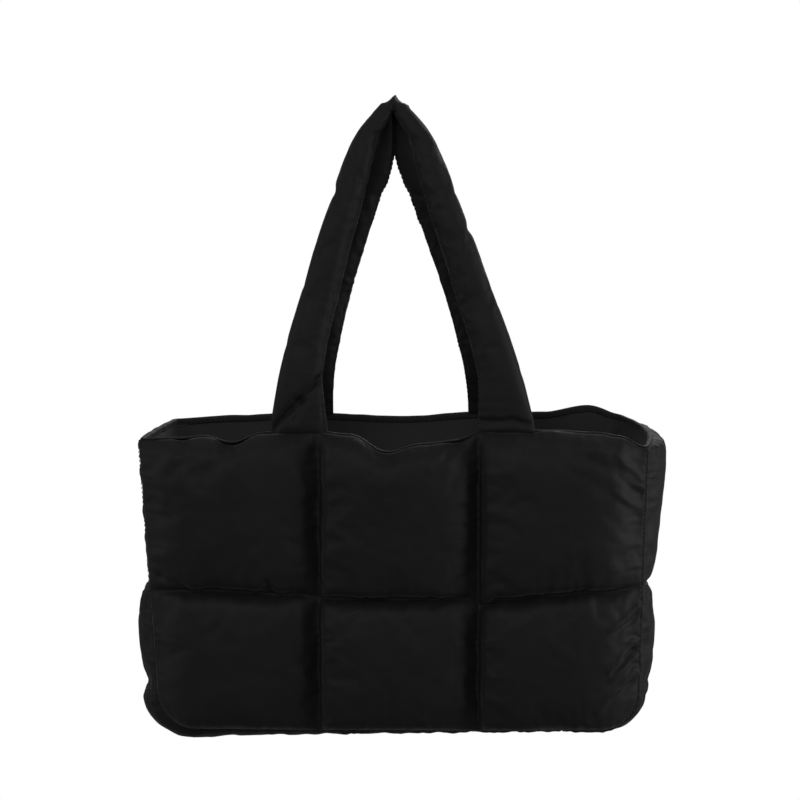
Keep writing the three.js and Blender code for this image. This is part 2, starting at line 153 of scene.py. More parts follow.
# A handle's leg from its root to the hook: its inner edge as a share of half the root gap, its
# width and thickness as shares of the handle's, and how far its sections are turned up, in degrees.
LEG = [("at", float), ("inner", float), ("width", float), ("thickness", float), ("turn", float)]
FRONT_LEG = np.array([
    (0.0, 1.0, 1.42, 0.3, 0), (0.07, 1.03, 1.25, 0.6, 2), (0.15, 1.05, 1.06, 0.86, 8),
    (0.25, 0.99, 0.93, 1.0, 15), (0.42, 0.8, 0.81, 1.1, 16), (0.55, 0.65, 0.76, 1.15, 16),
    (0.71, 0.44, 0.7, 1.2, 17), (0.83, 0.31, 0.6, 1.15, 20), (0.92, 0.21, 0.44, 1.05, 25),
    (1.0, 0.0, 0.36, 0.9, 32),
], dtype=LEG)
BACK_LEG = np.array([
    (0.0, 1.0, 1.34, 0.3, 0), (0.07, 0.99, 1.22, 0.6, 2), (0.15, 0.95, 1.1, 0.86, 8),
    (0.25, 0.86, 1.02, 1.0, 13), (0.39, 0.71, 0.97, 1.1, 16), (0.55, 0.48, 0.95, 1.1, 20),
    (0.71, 0.22, 0.86, 1.1, 18), (0.82, 0.04, 0.74, 1.1, 13), (0.88, -0.016, 0.65, 1.05, 11),
    (0.94, -0.02, 0.5, 1.0, 12), (1.0, -0.015, 0.36, 0.9, 20),
], dtype=LEG)

# How far the quilting line round the bag sags below its height, across the front.
QUILT_SAG = np.array([
    (-1.0, 2), (-0.75, 0), (-0.45, 3), (-0.33, 6), (0.0, 6), (0.28, 6), (0.34, 12),
    (0.42, 6), (0.6, 3), (0.8, 0), (1.0, -3),
], dtype=[("at", float), ("down", float)])
SAG_REACH = 60 * MM  # how far above and below the quilting line the cloth sags with it

# Folds pressed into the front, as lines across the bag in millimetres: from x1, z1 to x2, z2, how
# deep, or how proud where it is negative, and how wide.
FOLD = [(name, float) for name in ("x1", "z1", "x2", "z2", "deep", "wide")]
PANEL_FOLDS = np.array([
    (203, -404, 181, -420, -2.4, 2.6), (203, -411, 186, -424, 2.0, 3.0),
    (200, -433, 178, -455, -2.6, 2.6), (201, -447, 180, -463, -2.2, 2.4),
    (199, -440, 182, -456, 2.4, 2.6), (201, -457, 170, -488, -2.4, 3.0),
    (198, -466, 176, -486, 2.0, 3.2), (113, -262, 194, -293, 1.6, 5.0),
    (122, -258, 196, -276, -1.5, 4.5), (118, -268, 176, -306, 1.2, 6.0),
    (203, -297, 186, -277, -1.8, 3.0), (203, -322, 182, -305, -1.8, 3.0),
    (203, -310, 188, -296, 1.6, 3.4), (54, -264, 36, -293, 1.8, 5.0),
    (62, -272, 50, -302, 1.4, 4.5), (-192, -381, -168, -389, 2.6, 3.0),
    (-103, -383, -98, -391, 2.4, 2.4), (-127, -262, -151, -298, 2.0, 7.0),
    (-172, -268, -165, -292, 1.8, 5.0), (-146, -268, -139, -284, -1.4, 4.0),
], dtype=FOLD)
HANDLE_FOLDS = np.array([
    (-60, -215, -75, -233, 5.0, 2.8), (-75, -233, -97, -258, 5.5, 2.8),
    (-71, -235, -80, -249, 3.0, 2.0), (-55, -240, -57, -258, 2.0, 2.5),
    (72, -250, 103, -251, 3.5, 2.4), (103, -251, 118, -255, 2.0, 2.2),
], dtype=FOLD)

# How far from each seam of a panel's pillow its wadding takes to fill out. The pillows lean left,
# so they stand up steeply at their left quilting line and roll down gently to their right one.
FILLS_OUT = {
    "left corner": 14 * MM, "right corner": 20 * MM, "right of quilting": 1.8 * MM,
    "left of quilting": 16 * MM, "left of lower quilting": 19 * MM, "base seam": 2.2 * MM,
    "above quilting": 1.8 * MM, "below quilting": 3 * MM, "hem": 5 * MM,
}

# How full the gussets' pillows are, at the right, 1, and at the left, -1.
FULLNESS = {1: {"lower": 0.82, "upper": 0.88}, -1: {"lower": 0.92, "upper": 0.34}}

# A skin before its simulation: how full it is, as a share of its crown, and how unevenly, and the
# roundness of the plain dome that it swells to.
START_SHARE = 0.62
CRUMPLE = 1.2 * MM
DOME = 0.6

# How far from a panel's seam the gussets' wadding takes to fill out.
STRIP_FILLS_OUT = 6 * MM

# How high the puckers beside the seams are.
STRIP_PUCKER = 0.9 * MM  # on the gussets and the base pad
PANEL_PUCKER = 0.6 * MM
HANDLE_PUCKER = 0.6 * MM


def ease(share):
    """Half a cosine wave from 0 to 1."""
    return (1 - np.cos(np.pi * share)) / 2


def read_table(table, at, column):
    """A column of a table at places between its rows, eased from row to row."""
    at = np.asarray(at, dtype=float)
    after = np.clip(np.searchsorted(table["at"], at), 1, len(table) - 1)
    low, high = table[after - 1], table[after]
    share = np.clip((at - low["at"]) / (high["at"] - low["at"]), 0, 1)
    return low[column] + (high[column] - low[column]) * ease(share)


def read_curve(table, at, column):
    """A column of a table at places between its rows, on a smooth curve through the rows."""
    stops, values = table["at"], table[column].astype(float)
    slopes = np.gradient(values, stops)
    at = np.clip(np.asarray(at, dtype=float), stops[0], stops[-1])
    after = np.clip(np.searchsorted(stops, at), 1, len(table) - 1)
    low, high = after - 1, after
    span = stops[high] - stops[low]
    t = (at - stops[low]) / span
    return (
        (2 * t**3 - 3 * t**2 + 1) * values[low] + (t**3 - 2 * t**2 + t) * span * slopes[low]
        + (3 * t**2 - 2 * t**3) * values[high] + (t**3 - t**2) * span * slopes[high]
    )


def mix(low, high, share):
    """A value between low, at share 0, and high, at share 1."""
    return low + (high - low) * share


# The sewn shell


def corner_x(s, side, height, back):
    """Where the corner seam runs at a height: side -1 at the left, 1 at the right."""
    share = height / s.body_height
    width = s.body_width + share * (s.back_flare if back else s.front_flare)
    return mix(s.body_shift, s.rim_shift, share) + side * width / 2


def pad_height(s):
    """From the base seam to the top of the padding, under the hem."""
    return s.body_height - s.hem_height


def seam_points(s, share, height, back, inset=0.0):
    """Points of the sewn shell: share across from -1 to 1, height above the base seam."""
    share, height = np.broadcast_arrays(np.asarray(share, float), np.asarray(height, float))
    side = np.where(share < 0, -1.0, 1.0)
    edge = corner_x(s, side, height, back) - side * inset
    quilting = s.body_shift + s.quilting_shift + side * s.body_width / 6
    out = np.abs(share)
    x = np.where(
        out <= 1 / 3,
        mix(s.body_shift, quilting, out * 3),
        mix(quilting, edge, (out - 1 / 3) * 1.5),
    )
    # the lower corners: a square of cloth bent into a quarter disc
    least_radius = 4 * MM
    radius = max(s.corner_radius - inset, least_radius)
    beside = np.clip(1 - side * (edge - x) / radius, 0, 1)
    below = np.clip(1 - (height - inset) / radius, 0, 1)
    round_beside = beside * np.sqrt(1 - below**2 / 2)
    round_below = below * np.sqrt(1 - beside**2 / 2)
    in_corner = (beside > 0) & (below > 0)
    x = np.where(in_corner, edge - side * radius * (1 - round_beside), x)
    height = np.where(in_corner, inset + radius * (1 - round_below), height)

    up = np.clip((height - s.lower_row) / (pad_height(s) - s.lower_row), 0, 1) ** 2
    middle = (corner_x(s, 1, height, back) + corner_x(s, -1, height, back)) / 2
    reach = np.clip((x - middle) / (corner_x(s, 1, height, back) - middle), -1, 1)
    rim = BACK_RIM if back else FRONT_RIM
    depth = mix(s.body_depth, s.rim_depth, np.clip(height / s.body_height, 0, 1)) / 2
    y = depth - inset + s.panel_bow * (1 - reach**2)
    y = y + s.rim_lean * read_table(rim, share, "lean") * up
    z = height - s.handle_drop - s.body_height
    z = z - s.rim_drop * read_table(rim, share, "drop") * up
    z = z + s.base_tilt * reach * np.clip(1 - height / s.lower_row, 0, 1)
    if not back:
        near = np.clip(1 - np.abs(height - s.lower_row) / SAG_REACH, 0, 1)
        z = z - read_table(QUILT_SAG, share, "down") * MM * ease(near)
    return np.stack([x, y if back else -y, z], axis=-1)


def shell_points(s, share, height, depth, inset=0.0):
    """Points between the front shell, at depth 0, and the back shell, at depth 1."""
    depth = np.asarray(depth, float)
    front = seam_points(s, share, height, False, inset)
    back = seam_points(s, share, height, True, inset)
    points = mix(front, back, depth[..., None])
    up = np.clip((np.asarray(height) - s.lower_row) / (pad_height(s) - s.lower_row), 0, 1) ** 2
    bow = np.where(np.asarray(share) > 0, s.right_bow, -s.left_bow)
    at_end = np.abs(share) > EDGE
    points[..., 0] += np.where(at_end, bow * 4 * depth * (1 - depth) * up, 0)
    return points


def cloth_top(s):
    """From the base seam to the top of the shell cloth, just under the folded edge."""
    folded_edge = 1.4 * MM
    return s.body_height - folded_edge


def strip_points(s, along, depth):
    """Points of the strip between the panels, and its outward directions.

    along runs from the right end of the mouth down, along the base and up to the left end.
    """
    top, wide = cloth_top(s), s.body_width

    def at(along):
        share = np.clip(1 - 2 * (along - top) / wide, -1, 1)
        height = np.where(along < top, top - along, np.maximum(along - top - wide, 0))
        return shell_points(s, share, height, depth)

    step = MM
    ahead = at(np.minimum(along + step, 2 * top + wide))
    behind = at(np.maximum(along - step, 0))
    tangent = ahead - behind
    tangent[..., 1] = 0
    tangent = unit(tangent)
    outward = np.stack([-tangent[..., 2], 0 * tangent[..., 0], tangent[..., 0]], axis=-1)
    return at(along), outward


def mouth_length(s):
    """Once round the mouth."""
    return 2 * (s.body_width + s.rim_depth)


def mouth_loop(s, count, height, inset, rounding):
    """The loop round the bag at a height, its corners rounded, and its outward directions."""
    sides = np.array([s.body_width, s.rim_depth, s.body_width, s.rim_depth])
    ends = np.concatenate([[0], np.cumsum(sides)])
    go = np.arange(count) / count * ends[-1]
    front = np.clip((go - ends[0]) / sides[0], 0, 1)
    right = np.clip((go - ends[1]) / sides[1], 0, 1)
    back = np.clip((go - ends[2]) / sides[2], 0, 1)
    left = np.clip((go - ends[3]) / sides[3], 0, 1)
    share = 2 * (front - back) - 1
    points = shell_points(s, share, np.full(count, height), right - left, inset)
    for _ in range(rounding):
        points = (np.roll(points, 1, 0) + 2 * points + np.roll(points, -1, 0)) / 4
    along = np.roll(points, -1, 0) - np.roll(points, 1, 0)
    along[:, 2] = 0
    along = unit(along)
    return points, np.stack([along[:, 1], -along[:, 0], 0 * along[:, 0]], axis=-1)


def hem_top(s, x, back):
    """The hem's top edge at places across the front or the back."""
    side = np.where(x < s.body_shift, -1.0, 1.0)
    quilting = side * s.body_width / 6
    edge = corner_x(s, side, pad_height(s), back) - s.body_shift
    beyond = (x - s.body_shift - quilting) / (edge - quilting)
    share = np.where(beyond < 0, (x - s.body_shift) / s.body_width * 2,
                     side * mix(1 / 3, 1, beyond))
    points = seam_points(s, share, np.full(x.shape, pad_height(s)), back)
    points[..., 2] += s.hem_height
    return points


def unit(vectors):
    """The same directions, one to a row, with length 1."""
    return vectors / np.maximum(np.linalg.norm(vectors, axis=-1, keepdims=True), 1e-12)


def fill_of(a, b, roundness):
    """How full a pillow is at a place in its cell, both from -1 to 1: boxy where it is near 0."""
    return np.maximum((1 - a * a) * (1 - b * b), 0) ** roundness


def climb(distance, reach):
    """How far wadding has filled out at a distance from a seam: all but full at three reaches."""
    return 1 - np.exp(-np.maximum(distance, 0) / reach)


def at_edge(*places):
    """Whether a point is on its skin's edge by any of its places, each from -1 to 1."""
    return np.any([np.abs(place) > EDGE for place in places], axis=0)


def strip_skin(s, along, a):
    """The sewn start of a skin on the strip, a from -1 to 1 across it, and its outward directions."""
    rolled_out = 0.95 * MM  # the skin's edges roll over the seam to meet the panels
    points, outward = strip_points(s, along, (a + 1) / 2)
    points += outward * s.seam_thickness / 2
    points[:, 1] += np.where(np.abs(a) > EDGE, a * rolled_out, 0)
    return points, outward


def ripple(points, size, seed):
    """Smooth noise from -1 to 1 at each point, with features of about that size.

    Each seed reads another part of the same noise.
    """
    offset = Vector((17.3 * seed, -9.1 * seed, 4.7 * seed))
    return np.array([noise.noise(Vector(p) / size + offset) for p in points])


# Meshes


def grid_piece(name, across, up, place, size):
    """A sheet of faces, each vertex put where place(u, v) says, both from -1 to 1.

    The sheet keeps u and v in its attribute "place" and a UV map in metres, of the given size.
    """
    bm = bmesh.new()
    uv_layer = bm.loops.layers.uv.new("cloth")
    at = bm.verts.layers.float_vector.new("place")
    bmesh.ops.create_grid(bm, x_segments=across, y_segments=up, size=1)
    where = np.array([(v.co.x, v.co.y) for v in bm.verts])
    points = place(where[:, 0], where[:, 1])
    for face in bm.faces:
        for loop in face.loops:
            u, v = loop.vert.co.x, loop.vert.co.y
            loop[uv_layer].uv = (u * size[0] / 2, v * size[1] / 2)
    for vertex, (u, v), point in zip(bm.verts, where, points):
        vertex[at] = (u, v, 0)
        vertex.co = point
    mesh = bpy.data.meshes.new(name)
    bm.to_mesh(mesh)
    bm.free()
    piece = bpy.data.objects.new(name, mesh)
    bpy.context.scene.collection.objects.link(piece)
    return piece


def read_rows(items, name):
    """A vector property of each of a mesh's items, one to a row."""
    values = np.empty(3 * len(items))
    items.foreach_get(name, values)
    return values.reshape(-1, 3)


def read_points(mesh):
    return read_rows(mesh.vertices, "co")


def read_normals(mesh):
    return read_rows(mesh.vertices, "normal")


def read_place(mesh):
    """Where each point lies on its sheet, both from -1 to 1."""
    return read_rows(mesh.attributes["place"].data, "vector")


def write_points(mesh, points):
    mesh.vertices.foreach_set("co", np.ascontiguousarray(points).ravel())
    mesh.update()


def blow_up(piece, held, slack, pressure=4.0):
    """Fills a skin with wadding: a cloth simulation under pressure, with the held points kept.

    slack is how much larger the cloth is cut than its sewn shape, as a share of its length.
    """
    frames = 20
    group = piece.vertex_groups.new(name="seams")
    group.add([int(i) for i in np.flatnonzero(held)], 1.0, "REPLACE")
    cloth = piece.modifiers.new("wadding", "CLOTH")
    # light, limp nylon, so that the pressure fills it and what cloth is left over creases
    settings = cloth.settings
    settings.quality = 6
    settings.mass = 0.15
    settings.tension_stiffness = 15
    settings.compression_stiffness = 15
    settings.shear_stiffness = 8
    settings.bending_stiffness = 0.4
    settings.air_damping = 2
    settings.use_pressure = True
    settings.uniform_pressure_force = pressure
    settings.vertex_group_mass = "seams"
    settings.shrink_min = -slack
    settings.effector_weights.gravity = 0
    cloth.collision_settings.use_collision = False
    cloth.collision_settings.use_self_collision = False
    cloth.point_cache.frame_end = frames
    scene = bpy.context.scene
    for number in range(1, frames + 1):
        scene.frame_set(number)
    evaluated = piece.evaluated_get(bpy.context.evaluated_depsgraph_get())
    points = read_points(evaluated.data)
    piece.modifiers.remove(cloth)
    piece.vertex_groups.remove(group)
    scene.frame_set(1)
    write_points(piece.data, points)


def creases_of(moved, place, cells, wraps=False):
    """What a smooth swelling leaves out of how far a skin's points moved: its creases.

    cells is the sheet's count of faces each way. A tube's skin wraps round the first way.
    """
    passes = 30
    smooth_share = 0.85
    i = np.rint((place[:, 0] + 1) / 2 * cells[0]).astype(int)
    j = np.rint((place[:, 1] + 1) / 2 * cells[1]).astype(int)
    columns = cells[0] if wraps else cells[0] + 1
    i %= columns
    grid = np.zeros((columns, cells[1] + 1, 3))
    grid[i, j] = moved
    smooth = grid.copy()
    for _ in range(passes):
        if wraps:
            smooth = (np.roll(smooth, 1, 0) + 2 * smooth + np.roll(smooth, -1, 0)) / 4
        else:
            smooth[1:-1] = (smooth[:-2] + 2 * smooth[1:-1] + smooth[2:]) / 4
        smooth[:, 1:-1] = (smooth[:, :-2] + 2 * smooth[:, 1:-1] + smooth[:, 2:]) / 4
    return (grid - smooth_share * smooth)[i, j]


def dress(piece, cells, flat, outward, rise, blown, keep):
    """Sets a blown-up skin to its pillows' height, with the simulation's creases on top.

    rise is how far each point stands out, blown is the plain dome that the cloth swelled to, and
    keep is the share of the creases' height that stays.
    """
    most_sideways, sideways_share = 5 * MM, 0.8
    most_lift = 4 * MM
    place = read_place(piece.data)
    moved = read_points(piece.data) - flat
    height = (moved * outward).sum(axis=1, keepdims=True)
    sideways = moved - height * outward
    scale = (height[:, 0] * blown).sum() / max((blown * blown).sum(), 1e-12)
    left_over = moved - outward * (blown * scale)[:, None]
    creases = creases_of(left_over, place, cells)
    creases -= sideways
    reach = np.linalg.norm(sideways, axis=1, keepdims=True)
    sideways = sideways_share * sideways * np.minimum(1, most_sideways / np.maximum(reach, 1e-9))
    lift = (creases * outward).sum(axis=1)
    lift = most_lift * np.tanh(lift / most_lift) * keep
    total = np.maximum(rise + lift, 0)
    write_points(piece.data, flat + sideways + outward * total[:, None])


def press(points, outward, folds):
    """Presses folds into the front of a piece, along wandering lines seen from the front."""
    strays, stray_size = 2.2 * MM, 11 * MM
    front_facing = -0.2  # the outward direction's y, at most
    moved = np.zeros(len(points))
    wander = np.stack([ripple(points, stray_size, seed) for seed in (71, 72)], axis=-1)
    for fold in folds:
        start = np.array([fold["x1"], fold["z1"]]) * MM
        end = np.array([fold["x2"], fold["z2"]]) * MM
        span = end - start
        where = points[:, [0, 2]] - start + strays * wander
        along = np.clip((where @ span) / (span @ span), 0, 1)
        distance = np.linalg.norm(where - along[:, None] * span, axis=1)
        fade = 1 - 0.5 * along**3
        moved -= fold["deep"] * MM * fade * np.exp(-((distance / (fold["wide"] * MM)) ** 2))
    return points + outward * (moved * (outward[:, 1] < front_facing))[:, None]


def crease(piece, raised, folds=()):
    """Raises a skin's points along its normals, then presses folds into its front."""
    outward = read_normals(piece.data)
    points = read_points(piece.data) + outward * raised[:, None]
    if len(folds):
        points = press(points, outward, folds)
    write_points(piece.data, points)


def pucker(distance, along, seed):
    """How the thread gathers the cloth beside a seam: short folds square to it that fade out."""
    pitch, reach, flat_beside_thread = 10.5 * MM, 9 * MM, 1.5 * MM
    marks = np.arange(-500, 1000, 2) * MM
    wander = [noise.noise(Vector((a / (16 * MM), seed * 3.7, 0))) for a in marks]
    strength = [noise.noise(Vector((a / (30 * MM), seed * 1.9, 5))) for a in marks]
    wander, strength = np.interp(along, marks, wander), np.interp(along, marks, strength)
    folds = np.cos(2 * np.pi * along / pitch + 5 * wander)
    fade = np.exp(-distance / reach) * climb(distance, flat_beside_thread)
    return folds * fade * (0.55 + 0.6 * strength)


def keep_modifier(piece, modifier):
    """Makes what a modifier does part of the piece's mesh."""
    evaluated = piece.evaluated_get(bpy.context.evaluated_depsgraph_get())
    mesh = bpy.data.meshes.new_from_object(evaluated)
    piece.modifiers.remove(modifier)
    before = piece.data
    piece.data = mesh
    bpy.data.meshes.remove(before)


def subdivide(piece):
    """One smooth subdivision, kept in the mesh."""
    smoother = piece.modifiers.new("smoother", "SUBSURF")
    smoother.levels = smoother.render_levels = 1
    smoother.boundary_smooth = "PRESERVE_CORNERS"
    keep_modifier(piece, smoother)


def close_pad(piece, inwards):
    """Turns the skin's edges in by inwards(place, normal) and closes the pad behind them."""
    bm = bmesh.new()
    bm.from_mesh(piece.data)
    at = bm.verts.layers.float_vector["place"]
    rim = [edge for edge in bm.edges if edge.is_boundary]
    made = bmesh.ops.extrude_edge_only(bm, edges=rim)["geom"]
    turned = [v for v in made if isinstance(v, bmesh.types.BMVert)]
    for vertex in turned:
        vertex.co += Vector(inwards(vertex[at].x, vertex[at].y))
    edges = [e for e in made if isinstance(e, bmesh.types.BMEdge) and e.is_boundary]
    backing = bmesh.ops.holes_fill(bm, edges=edges, sides=0)["faces"]
    bmesh.ops.triangulate(bm, faces=backing)
    bmesh.ops.recalc_face_normals(bm, faces=bm.faces)
    bm.to_mesh(piece.data)
    bm.free()


def finish_piece(piece, material, slot, *nodes):
    """Gives a finished piece its cloth and body, hides the CAD nodes it replaces; slot is not used.
    """
    piece.data.materials.clear()
    piece.data.materials.append(material)
    for polygon in piece.data.polygons:
        polygon.use_smooth = True
    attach(piece, "root")
    if nodes:
        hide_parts(*nodes)


# Materials

COLOUR_A, COLOUR_B = 6, 7  # the colour inputs of a Mix node


def add_node(tree, kind, properties=(), inputs=()):
    """Adds a node with its properties, and its inputs' values or links."""
    made = tree.nodes.new(kind)
    for name, value in dict(properties).items():
        setattr(made, name, value)
    for name, value in dict(inputs).items():
        if isinstance(value, bpy.types.NodeSocket):
            tree.links.new(value, made.inputs[name])
        else:
            made.inputs[name].default_value = value
    return made


def new_material(name):
    """An empty material and its node tree."""
    material = bpy.data.materials.new(name)
    material.use_nodes = True
    material.node_tree.nodes.clear()
    return material, material.node_tree


def wave_scale(period):
    """The wave texture's scale for a wave of about this period."""
    one_to_the_metre = 0.3183
    return one_to_the_metre / period


def shades_of(colour, darker, lighter):
    """Two opaque shades of a colour, each a share of its brightness."""
    return [(*[c * share for c in colour], 1) for share in (darker, lighter)]


def shell_nylon(sizes, colours):
    """Black downproof nylon, woven plain of fine yarn and calendered.

    The hot rollers flatten the yarn, so the eye gets a broad, soft gloss on deep black, broken up by
    small crinkles. The weave is too fine to show at its real 0.1 mm, so it is drawn coarser.
    """
    material, tree = new_material("downproof_nylon")
    cloth = add_node(tree, "ShaderNodeUVMap", {"uv_map": "cloth"}).outputs["UV"]
    place = add_node(tree, "ShaderNodeTexCoord").outputs["Object"]
    # the weave, one wave for the warp and one for the weft, each over one yarn and under the next
    warp, weft = (
        add_node(tree, "ShaderNodeTexWave", {"bands_direction": direction},
                 {"Vector": cloth, "Scale": wave_scale(2 * sizes.weave_pitch), "Distortion": 0.4})
        for direction in "XY"
    )
    weave = add_node(tree, "ShaderNodeMath", {"operation": "MAXIMUM"},
                     {0: warp.outputs["Fac"], 1: weft.outputs["Fac"]})
    # crinkles that folding leaves in the calendered face, and broad uneven patches of gloss
    crinkle_size, patch_size = 11.765 * MM, 71.43 * MM
    crinkle = add_node(tree, "ShaderNodeTexNoise", {},
                       {"Vector": place, "Scale": 1 / crinkle_size, "Detail": 3.0,
                        "Roughness": 0.55})
    shading = add_node(tree, "ShaderNodeTexNoise", {},
                       {"Vector": place, "Scale": 1 / patch_size, "Detail": 2.0})
    dark, light = shades_of(colours.shell, 0.85, 1.18)
    tone = add_node(tree, "ShaderNodeMix", {"data_type": "RGBA"},
                    {0: shading.outputs["Fac"], COLOUR_A: dark, COLOUR_B: light})
    gloss = add_node(tree, "ShaderNodeMapRange", {},
                     {"Value": shading.outputs["Fac"], "To Min": 0.58, "To Max": 0.68})
    soft = add_node(tree, "ShaderNodeBump", {},
                    {"Height": crinkle.outputs["Fac"], "Strength": 0.35, "Distance": 1.2 * MM})
    fine = add_node(tree, "ShaderNodeBump", {},
                    {"Height": weave.outputs["Value"], "Strength": 0.25, "Distance": 0.1 * MM,
                     "Normal": soft.outputs["Normal"]})
    shader = add_node(tree, "ShaderNodeBsdfPrincipled", {},
                      {"Base Color": tone.outputs[2], "Roughness": gloss.outputs["Result"],
                       "Normal": fine.outputs["Normal"], "IOR": 1.53,
                       "Specular IOR Level": 0.28, "Sheen Weight": 0.1,
                       "Sheen Roughness": 0.4})
    add_node(tree, "ShaderNodeOutputMaterial", {}, {"Surface": shader.outputs["BSDF"]})
    return material


def lining_taffeta(sizes, colours):
    """Black polyester taffeta, a plain lining weave that isn't calendered.

    Its fine ribs scatter the light, so it looks flat and a little duller than the shell.
    """
    material, tree = new_material("lining_taffeta")
    cloth = add_node(tree, "ShaderNodeUVMap", {"uv_map": "cloth"}).outputs["UV"]
    ribs = add_node(tree, "ShaderNodeTexWave", {"bands_direction": "Y"},
                    {"Vector": cloth, "Scale": wave_scale(2 * sizes.weave_pitch),
                     "Distortion": 0.6})
    slub_size = 16.667 * MM
    slubs = add_node(tree, "ShaderNodeTexNoise", {},
                     {"Vector": cloth, "Scale": 1 / slub_size, "Detail": 2.0})
    dark, light = shades_of(colours.lining, 0.8, 1.2)
    tone = add_node(tree, "ShaderNodeMix", {"data_type": "RGBA"},
                    {0: slubs.outputs["Fac"], COLOUR_A: dark, COLOUR_B: light})
    relief = add_node(tree, "ShaderNodeBump", {},
                      {"Height": ribs.outputs["Fac"], "Strength": 0.3, "Distance": 0.1 * MM})
    shader = add_node(tree, "ShaderNodeBsdfPrincipled", {},
                      {"Base Color": tone.outputs[2], "Roughness": 0.65, "IOR": 1.55,
                       "Specular IOR Level": 0.35, "Sheen Weight": 0.1,
                       "Normal": relief.outputs["Normal"]})
    add_node(tree, "ShaderNodeOutputMaterial", {}, {"Surface": shader.outputs["BSDF"]})
    return material


def sewing_thread(colours):
    """Black spun polyester thread.

    Its twist and fuzz leave it matt, with a pale edge where the fuzz catches the light.
    """
    material, tree = new_material("sewing_thread")
    place = add_node(tree, "ShaderNodeTexCoord").outputs["Object"]
    twist_size = 0.4 * MM
    twist = add_node(tree, "ShaderNodeTexNoise", {},
                     {"Vector": place, "Scale": 1 / twist_size, "Detail": 1.0})
    dark, light = shades_of(colours.thread, 0.7, 1.3)
    tone = add_node(tree, "ShaderNodeMix", {"data_type": "RGBA"},
                    {0: twist.outputs["Fac"], COLOUR_A: dark, COLOUR_B: light})
    shader = add_node(tree, "ShaderNodeBsdfPrincipled", {},
                      {"Base Color": tone.outputs[2], "Roughness": 0.7,
                       "Specular IOR Level": 0.3, "Sheen Weight": 0.3})
    add_node(tree, "ShaderNodeOutputMaterial", {}, {"Surface": shader.outputs["BSDF"]})
    return material


def material_named(name):
    """The bag's cloth of that name, made once."""
    found = bpy.data.materials.get(name)
    if found:
        return found
    sizes, colours = bpy.context.scene.tote_sizes, bpy.context.scene.tote_colours
    if name == "downproof_nylon":
        return shell_nylon(sizes, colours)
    if name == "lining_taffeta":
        return lining_taffeta(sizes, colours)
    return sewing_thread(colours)


# The stage

FLOOR_HEIGHT = -0.66
FLOOR_REACH = 6.0
FLOOR_GRAIN = 40.0  # how fine its grain is
FLOOR_BOUNCE = 0.35  # the share of its light that the floor throws back up at the bag
SURROUND_LIGHT = 0.1  # how strongly the white surround lights the bag
LIT_POINT = (0, 0, -0.3)

# Each softbox: its name, its place, its width and height, and its watts.
SOFTBOXES = (
    ("right_softbox", (1.5, -0.3, -0.3), (0.9, 1.6), 12),
    ("left_softbox", (-1.6, -0.4, 0.1), (0.9, 1.6), 4.4),
    ("front_softbox", (-0.4, -2.3, 0.85), (1.5, 1.2), 11.8),
    ("top_softbox", (0.0, 0.2, 1.5), (1.4, 0.8), 2.6),
    ("back_softbox", (0.5, 2.4, 0.6), (1.4, 1.2), 9),
)

# The camera stands a little right of the bag's middle and above it, and looks at its target.
CAMERA_TARGET = (0.005, 0, -0.241)
CAMERA_DISTANCE = 2.4
CAMERA_TURN, CAMERA_RISE = math.radians(1.7), math.radians(7.2)
PICTURE_WIDTH = 0.672  # at the target


def facing(place, towards):
    """A matrix that puts a lamp or a camera at its place, facing a point."""
    aim = Vector(towards) - Vector(place)
    return Matrix.Translation(place) @ aim.to_track_quat("-Z", "Y").to_matrix().to_4x4()


